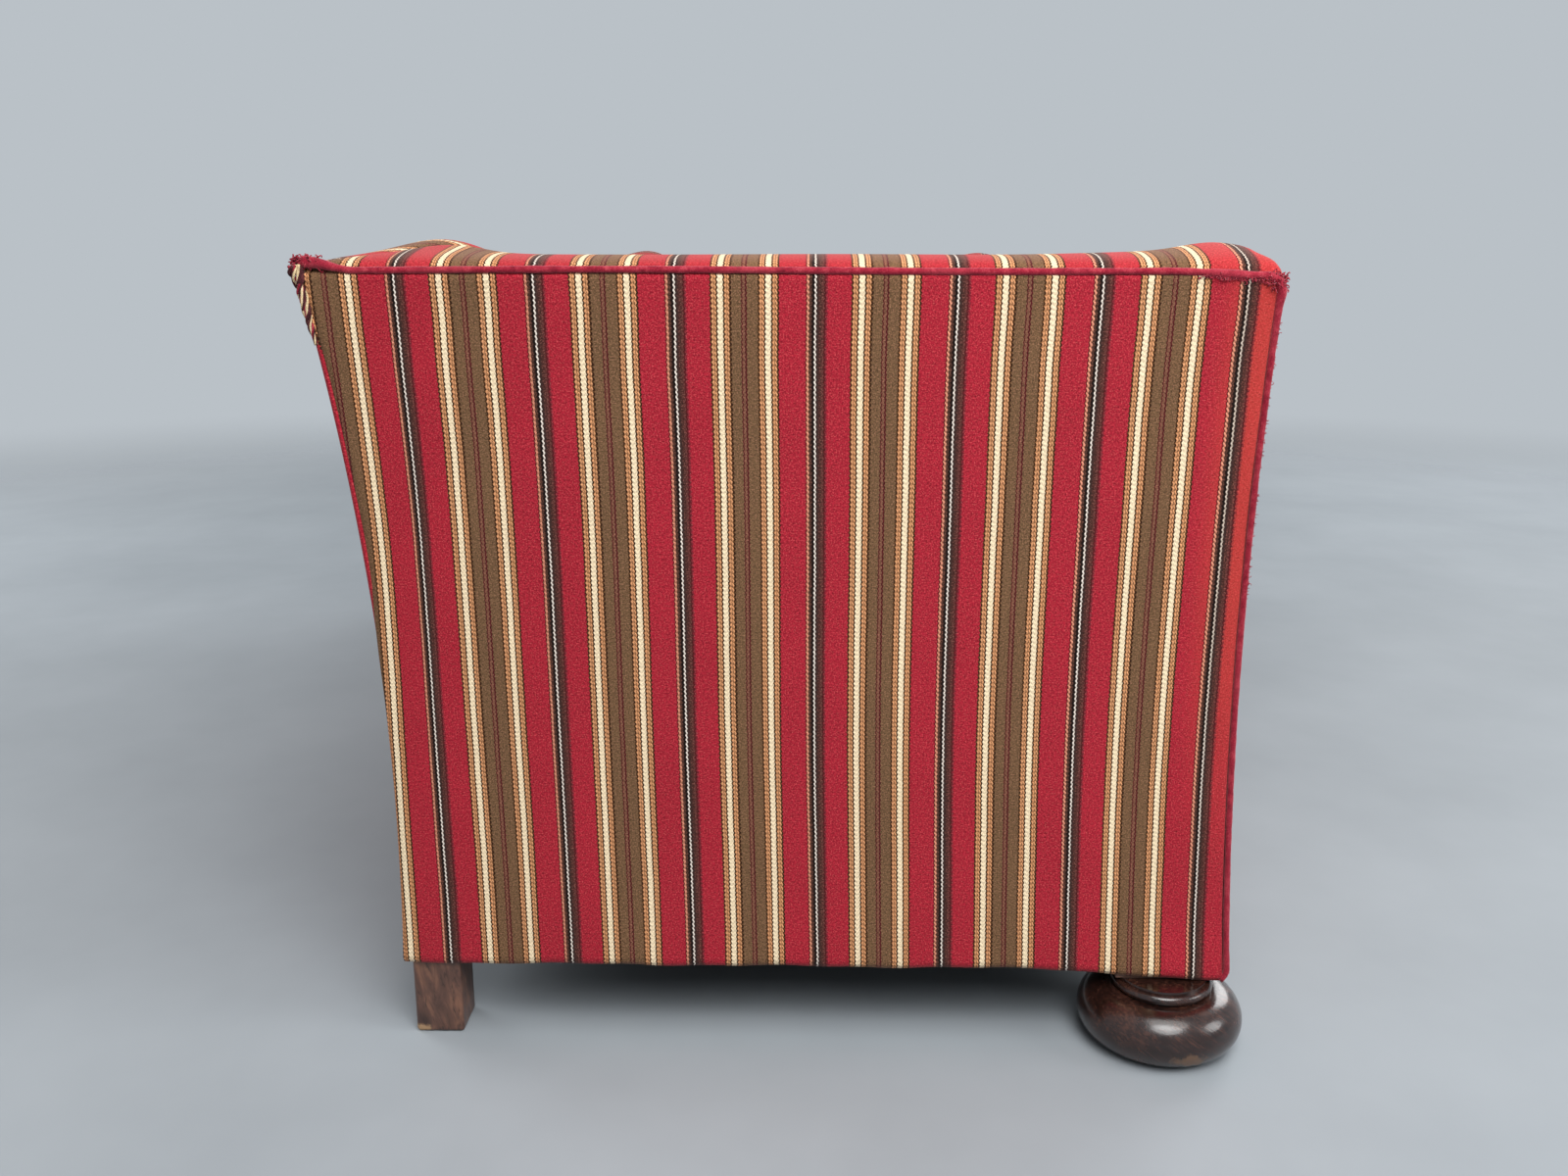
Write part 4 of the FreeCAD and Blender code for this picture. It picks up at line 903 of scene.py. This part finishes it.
# Loose seat cushions: boxed, with piping round both edges, filled by a cloth simulation.
CUSHION_GAP = 0.002
CUSHION_W = (2 * SEAT_HALF - 4 * CUSHION_GAP) / 3
CUSHION_FRONT = FRONT + 0.006
CUSHION_REAR = lean(DECK_Z) - CUSHION_GAP
CUSHION_Y = (CUSHION_FRONT + CUSHION_REAR) / 2
CUSHION_D = CUSHION_REAR - CUSHION_FRONT
CUSHION_BASE = DECK_Z + 0.0006
CUSHION_TOP = 0.4340
SEAM_IN = 0.0052
FILL_FRAMES = 20
MOST_SWELL = 0.026
# Parts of a cushion's cover: the front and rear borders are faces, the side borders are ends.
TOP, BOTTOM, FACE, END = range(4)


def cushion_blank():
    """A boxed cushion: top, bottom and border grids, joined along their edges."""
    half_w = CUSHION_W / 2 - SEAM_IN
    half_d = CUSHION_D / 2 - SEAM_IN
    wide, deep, tall = 56, 62, 13
    spots, index, faces, parts = [], {}, [], []

    def corner(a, b, c):
        key = (a, b, c)
        if key in index:
            return index[key]
        u = 2 * a / wide - 1
        w = 2 * b / deep - 1
        pull = 0.030 * u ** 8 * w ** 8
        x = half_w * u * (1 - pull) * (1 - 0.014 * (1 - w * w))
        y = half_d * w * (1 - pull) * (1 - 0.012 * (1 - u * u))
        seam = CUSHION_TOP - SEAM_IN - x * x / 2.9 - y * y / 3.3
        seam -= 0.010 * (1 - u * u) * (1 - w * w)
        low = CUSHION_BASE + 0.0055
        index[key] = len(spots)
        spots.append((x, CUSHION_Y + y, low + c / tall * (seam - low)))
        return index[key]

    def patch(count_a, count_b, spot, part, flip):
        for i in range(count_a):
            for j in range(count_b):
                quad = [spot(i, j), spot(i + 1, j), spot(i + 1, j + 1), spot(i, j + 1)]
                faces.append(tuple(quad[::-1] if flip else quad))
                parts.append(part)

    patch(wide, deep, lambda i, j: corner(i, j, tall), TOP, False)
    patch(wide, deep, lambda i, j: corner(i, j, 0), BOTTOM, True)
    patch(wide, tall, lambda i, j: corner(i, 0, j), FACE, False)
    patch(wide, tall, lambda i, j: corner(i, deep, j), FACE, True)
    patch(deep, tall, lambda i, j: corner(0, i, j), END, True)
    patch(deep, tall, lambda i, j: corner(wide, i, j), END, False)
    edge = [(a, 0) for a in range(wide)] + [(wide, b) for b in range(deep)]
    edge += [(a, deep) for a in range(wide, 0, -1)] + [(0, b) for b in range(deep, 0, -1)]
    rings = [[index[(a, b, c)] for a, b in edge] for c in (0, tall)]
    return np.array(spots), faces, parts, rings


# How the cloth behaves while the filling presses on it.
FILLING = {
    "quality": 6, "mass": 0.25, "tension_stiffness": 12, "compression_stiffness": 12, "shear_stiffness": 6,
    "bending_stiffness": 0.6, "vertex_group_mass": "seams", "use_pressure": True,
    "uniform_pressure_force": 4.0,
}


def fill(spots, faces, rings):
    """Where the points of a cushion go when it is filled, with its seams held."""
    mesh = bpy.data.meshes.new("filling")
    mesh.from_pydata(spots, [], faces)
    work = linked("filling", mesh)
    held = work.vertex_groups.new(name="seams")
    held.add([v for ring in rings for v in ring], 1.0, "REPLACE")
    cloth = work.modifiers.new("Cloth", "CLOTH")
    for key, value in FILLING.items():
        setattr(cloth.settings, key, value)
    cloth.settings.effector_weights.gravity = 0
    cloth.point_cache.frame_start = 1
    cloth.point_cache.frame_end = FILL_FRAMES
    for number in range(1, FILL_FRAMES + 1):
        scene.frame_set(number)
    graph = bpy.context.evaluated_depsgraph_get()
    filled = work.evaluated_get(graph).to_mesh()
    after = np.array([vertex.co for vertex in filled.vertices])
    bpy.data.objects.remove(work)
    scene.frame_set(1)
    moved = after - spots
    size = np.linalg.norm(moved, axis=1)[:, None]
    return moved * np.minimum(1, MOST_SWELL / np.maximum(size, 1e-9))


blank, blank_faces, blank_parts, blank_rings = cushion_blank()
swelling = fill(blank, blank_faces, blank_rings)


def cushion_cover(label, spots):
    """The cover through its filled points, with stripes from front to rear and down the borders."""
    corner = np.array(blank_faces).ravel()
    part = np.repeat(blank_parts, 4)
    x, y, z = spots[corner].T
    repeats = np.where(part == END, side_stripe(y, 0.4), long_stripe(x))
    along = np.where(part <= BOTTOM, y, z)
    cover = mesh_object(f"cushion_{label}", spots, blank_faces, spots[:, 0], spots[:, 1])
    pairs = np.stack([repeats, along], 1).astype(np.float32)
    cover.data.uv_layers["cloth"].data.foreach_set("uv", pairs.ravel())
    rounding = cover.modifiers.new("Subdivision", "SUBSURF")
    rounding.levels = 1
    rounding.render_levels = 1
    return cover


def cushion_piping(label, rings):
    """Piping round the upper and lower seams."""
    paths = []
    for ring in rings:
        loop = resample(ring, 360, closed=True)
        away = loop - loop.mean(axis=0)
        away[:, 2] = 0
        away /= np.linalg.norm(away, axis=1)[:, None]
        paths.append((loop + 0.0012 * away, WELT_R * 0.95))
    return tube_object(f"cushion_piping_{label}", paths, 10, closed=True)


def cushion(label, number):
    spots = blank + swelling
    u = spots[:, 0] / (CUSHION_W / 2)
    w = (spots[:, 1] - CUSHION_Y) / (CUSHION_D / 2)
    lived = (1 - np.clip(u * u, 0, 1)) * (1 - np.clip(w * w, 0, 1)) * smooth(0.38, 0.42, spots[:, 2])
    spots[:, 2] += lived * (0.004 * ripple(u * 0.25, w * 0.29, 71 + number, 0.5, 0.22) - 0.002)
    half = CUSHION_W / 2 - 0.0004
    low = (-half, CUSHION_FRONT - 0.010, CUSHION_BASE)
    high = (half, CUSHION_REAR - 0.0004, np.inf)
    spots = np.clip(spots, low, high)
    spots[:, 0] += (number - 1) * (CUSHION_W + CUSHION_GAP)
    body = f"seat_cushion_{label}"
    cover = dress(cushion_cover(label, spots), STRIPED, "striped_wool", body, body=body)
    trim = cushion_piping(label, [spots[ring] for ring in blank_rings])
    dress(trim, PIPING, "welt_wool", body=body)


for number, label in enumerate(CUSHIONS):
    cushion(label, number)


# Frayed yarns at the upper corners and along the front of the piping.
def short_yarns(name, seed, spots, reach, count, length, thickness, drift):
    """Short bent yarns that start near the given spots."""
    rng = np.random.default_rng(seed)
    paths = []
    for _ in range(count):
        spot = spots[rng.integers(len(spots))]
        start = spot + np.clip(rng.normal(0, 1, 3), -1.3, 1.3) * reach
        way = rng.normal(0, 1, 3) + drift
        way /= np.linalg.norm(way)
        bend = np.cross(way, rng.normal(0, 1, 3))
        size = length * rng.uniform(0.5, 1.2)
        t = np.linspace(0, 1, 6)[:, None]
        line = start + way * size * t + bend * size * 0.45 * np.sin(2.4 * t)
        paths.append((line, thickness * np.linspace(1.0, 0.55, 6)))
    return tube_object(name, paths, 5)


def wound_yarns(name, ends, count, spread, turns, thickness, seed):
    """Loose yarns wound round a line from one end to the other."""
    rng = np.random.default_rng(seed)
    t = np.linspace(0, 1, 40)
    begin, end = np.array(ends)
    way = (end - begin) / np.linalg.norm(end - begin)
    one = np.cross(way, [0.2, 0.9, 0.3])
    one /= np.linalg.norm(one)
    two = np.cross(way, one)
    paths = []
    for number in range(count):
        angle = 2 * math.pi * (turns * t + number / count) + 0.8 * np.sin(5 * t + rng.uniform(0, 6))
        wide = spread * (0.75 + 0.25 * np.sin(9 * t + rng.uniform(0, 6))) * (1 - 0.8 * t)
        line = begin + t[:, None] * (end - begin)
        line = line + wide[:, None] * (np.cos(angle)[:, None] * one + np.sin(angle)[:, None] * two)
        paths.append((line, thickness * (1 - 0.4 * t)))
    return tube_object(name, paths, 7)


def frays(label, sign):
    """Loose yarns at an arm's upper corners and along the front of its piping."""
    seed = 80 if sign < 0 else 90
    welt_x = side(WELT_Z)
    front_y = front_edge(WELT_Z)
    rear_spot = (sign * (welt_x - 0.0035), REAR_TOP - 0.008, WELT_Z + 0.0065)
    front_spot = (sign * (welt_x - 0.0026), front_y + 0.0075, WELT_Z - 0.0085)
    front_welt = [(sign * (welt_x - 0.0008), y, WELT_Z - 0.0024 - welt_droop(y))
                  for y in front_y + np.linspace(0.012, 0.070, 40)]
    front_rim = [(sign * (side(z) - 0.0012), front_edge(z) + 0.0012, z)
                 for z in np.linspace(0.45, 0.735, 90)]
    # Each tuft: where, how far round it, how many yarns, their length, thickness and drift.
    tufts = (
        ("rear_tuft", [rear_spot], (0.0024, 0.0080, 0.0030), 190, 0.0034, 0.00080, (0.0, 0.2, 0.0)),
        ("front_tuft", [front_spot], (0.0026, 0.0060, 0.0042), 190, 0.0036, 0.00075, (0.0, -0.2, 0.0)),
        ("front_welt", front_welt, (0.0010, 0.0020, 0.0013), 210, 0.0030, 0.00060, (0.0, 0.0, -0.6)),
        ("front_rim", front_rim, (0.0014, 0.0012, 0.0020), 420, 0.0026, 0.00036, (0.0, -0.9, 0.0)),
    )
    for number, (what, *values) in enumerate(tufts):
        tuft = short_yarns(f"frayed_{what}_{label}", seed + number, *values)
        dress(tuft, PIPING, "welt_wool")

    # Yarns wound round the torn upper end of the rear edge.
    edge = [(sign * (side(z) + 0.0002), rear(z) - 0.0016, z) for z in (0.752, 0.684)]
    strands = (
        ("cream", CREAM_YARN, 5, 0.0058),
        ("plum", PLUM_YARN, 6, 0.0064),
        ("crimson", PIPING, 4, 0.0046),
    )
    for number, (what, material, count, spread) in enumerate(strands):
        turns = 1.6 + 0.3 * number
        name = f"frayed_edge_{what}_{label}"
        loose = wound_yarns(name, edge, count, spread, turns, 0.00125, seed + 5 + number)
        dress(loose, material, "welt_wool")


for label, sign in SIDES.items():
    frays(label, sign)


# Finishes of the nodes that stay as they are, by words in their names. The first that fits is used.
FINISHES = (
    (("bun_foot",), BUN_WOOD),
    (("rear_post", "front_post"), LEG_WOOD),
    (("webbing", "hessian"), JUTE),
    (("seat_springs", "foot_bolts"), SPRING_STEEL),
    (("rail", "upright", "blocks", "dowels"), FRAME_WOOD),
)
for name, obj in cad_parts.items():
    fitting = [material for words, material in FINISHES if any(word in name for word in words)]
    if fitting:
        obj.data.materials.clear()
        obj.data.materials.append(fitting[0])


# Floor, light and camera.
def floor_material():
    """Pale mottled floor that fades into the backdrop."""
    m = Nodes("floor")
    where = m.place()
    mottle = m.noise(where, 2.2, 4.0, 0.6)
    colour, _ = m.ramp(mottle, [(0.3, linear(150, 157, 163)), (0.7, linear(160, 167, 173))])
    m.finish(colour, 0.62, Specular_IOR_Level=0.25)
    fade = m.span(m.vector_math("LENGTH", where), 1.8, 5.5)
    clear = m.add("ShaderNodeBsdfTransparent").outputs[0]
    blend = m.wire(m.add("ShaderNodeMixShader"), fade, m.shader.outputs[0], clear)
    m.put(m.tree.nodes["Material Output"].inputs["Surface"], blend)
    return m.owner


def floor_disc(radius=10, corners=96):
    """A round floor, kept out of the part."""
    mesh = bpy.data.meshes.new("floor")
    turns = np.linspace(0, 2 * math.pi, corners, endpoint=False)
    rim = [(radius * math.cos(a), radius * math.sin(a), 0.0) for a in turns]
    mesh.from_pydata(rim, [], [tuple(range(corners))])
    mesh.materials.append(floor_material())
    linked("floor", mesh)


def studio_world():
    """A pale backdrop where it is seen or mirrored, and a weaker light on the object."""
    m = Nodes("studio", "worlds", "Background")
    seen = m.wire(m.shader, Color=linear(186, 193, 199), Strength=1.0)
    given = m.wire(m.add("ShaderNodeBackground"), Color=(0.93, 0.97, 1.0, 1.0), Strength=0.25)
    rays = m.add("ShaderNodeLightPath").outputs
    shown = m.math("MAXIMUM", rays["Is Camera Ray"], rays["Is Glossy Ray"])
    shown = m.math("MAXIMUM", shown, rays["Is Transmission Ray"])
    choice = m.wire(m.add("ShaderNodeMixShader"), shown, given, seen)
    m.put(m.tree.nodes["World Output"].inputs["Surface"], choice)
    scene.world = m.owner


def lamp(name, spot, target, size, power, colour=(1, 1, 1)):
    """A round soft light, hidden from the camera."""
    light = bpy.data.lights.new(name, "AREA")
    light.shape = "DISK"
    light.size = size
    light.energy = power
    light.color = colour
    obj = linked(name, light)
    obj.visible_camera = False
    obj.location = spot
    obj.rotation_euler = (Vector(target) - Vector(spot)).to_track_quat("-Z", "Y").to_euler()


def photo_camera():
    """The photograph's view: its focal length in pixels, its place and its angles in degrees."""
    image_width = 1600
    focal_pixels = 1362.96
    spot = (-2.1171, FRONT + 0.40733, 0.7562)
    pitch, yaw, roll = 13.776, 1.067, 0.05
    data = bpy.data.cameras.new("camera")
    data.sensor_width = 36.0
    data.sensor_fit = "HORIZONTAL"
    data.lens = focal_pixels * data.sensor_width / image_width
    camera = linked("camera", data)
    view = Matrix.Translation(spot)
    for angle, axis in ((yaw - 90, "Z"), (90 - pitch, "X"), (roll, "Z")):
        view = view @ Matrix.Rotation(math.radians(angle), 4, axis)
    camera.matrix_world = view
    scene.camera = camera


floor_disc()
studio_world()
lamp("overhead", (-1.9, -0.6, 2.9), (-0.8, 0.0, 0.5), 2.2, 42, (1.0, 0.98, 0.95))
lamp("near_fill", (-2.3, -0.4, 1.85), (-0.95, 0.0, 0.6), 1.4, 33)
lamp("far_fill", (2.6, -3.0, 2.4), (0.2, 0.0, 0.4), 2.4, 85)
lamp("rear_fill", (1.2, 3.4, 2.2), (0.0, 0.2, 0.4), 2.4, 75)
lamp("front_fill", (-1.6, -3.0, 1.6), (-0.9, -0.4, 0.5), 1.4, 26)
photo_camera()
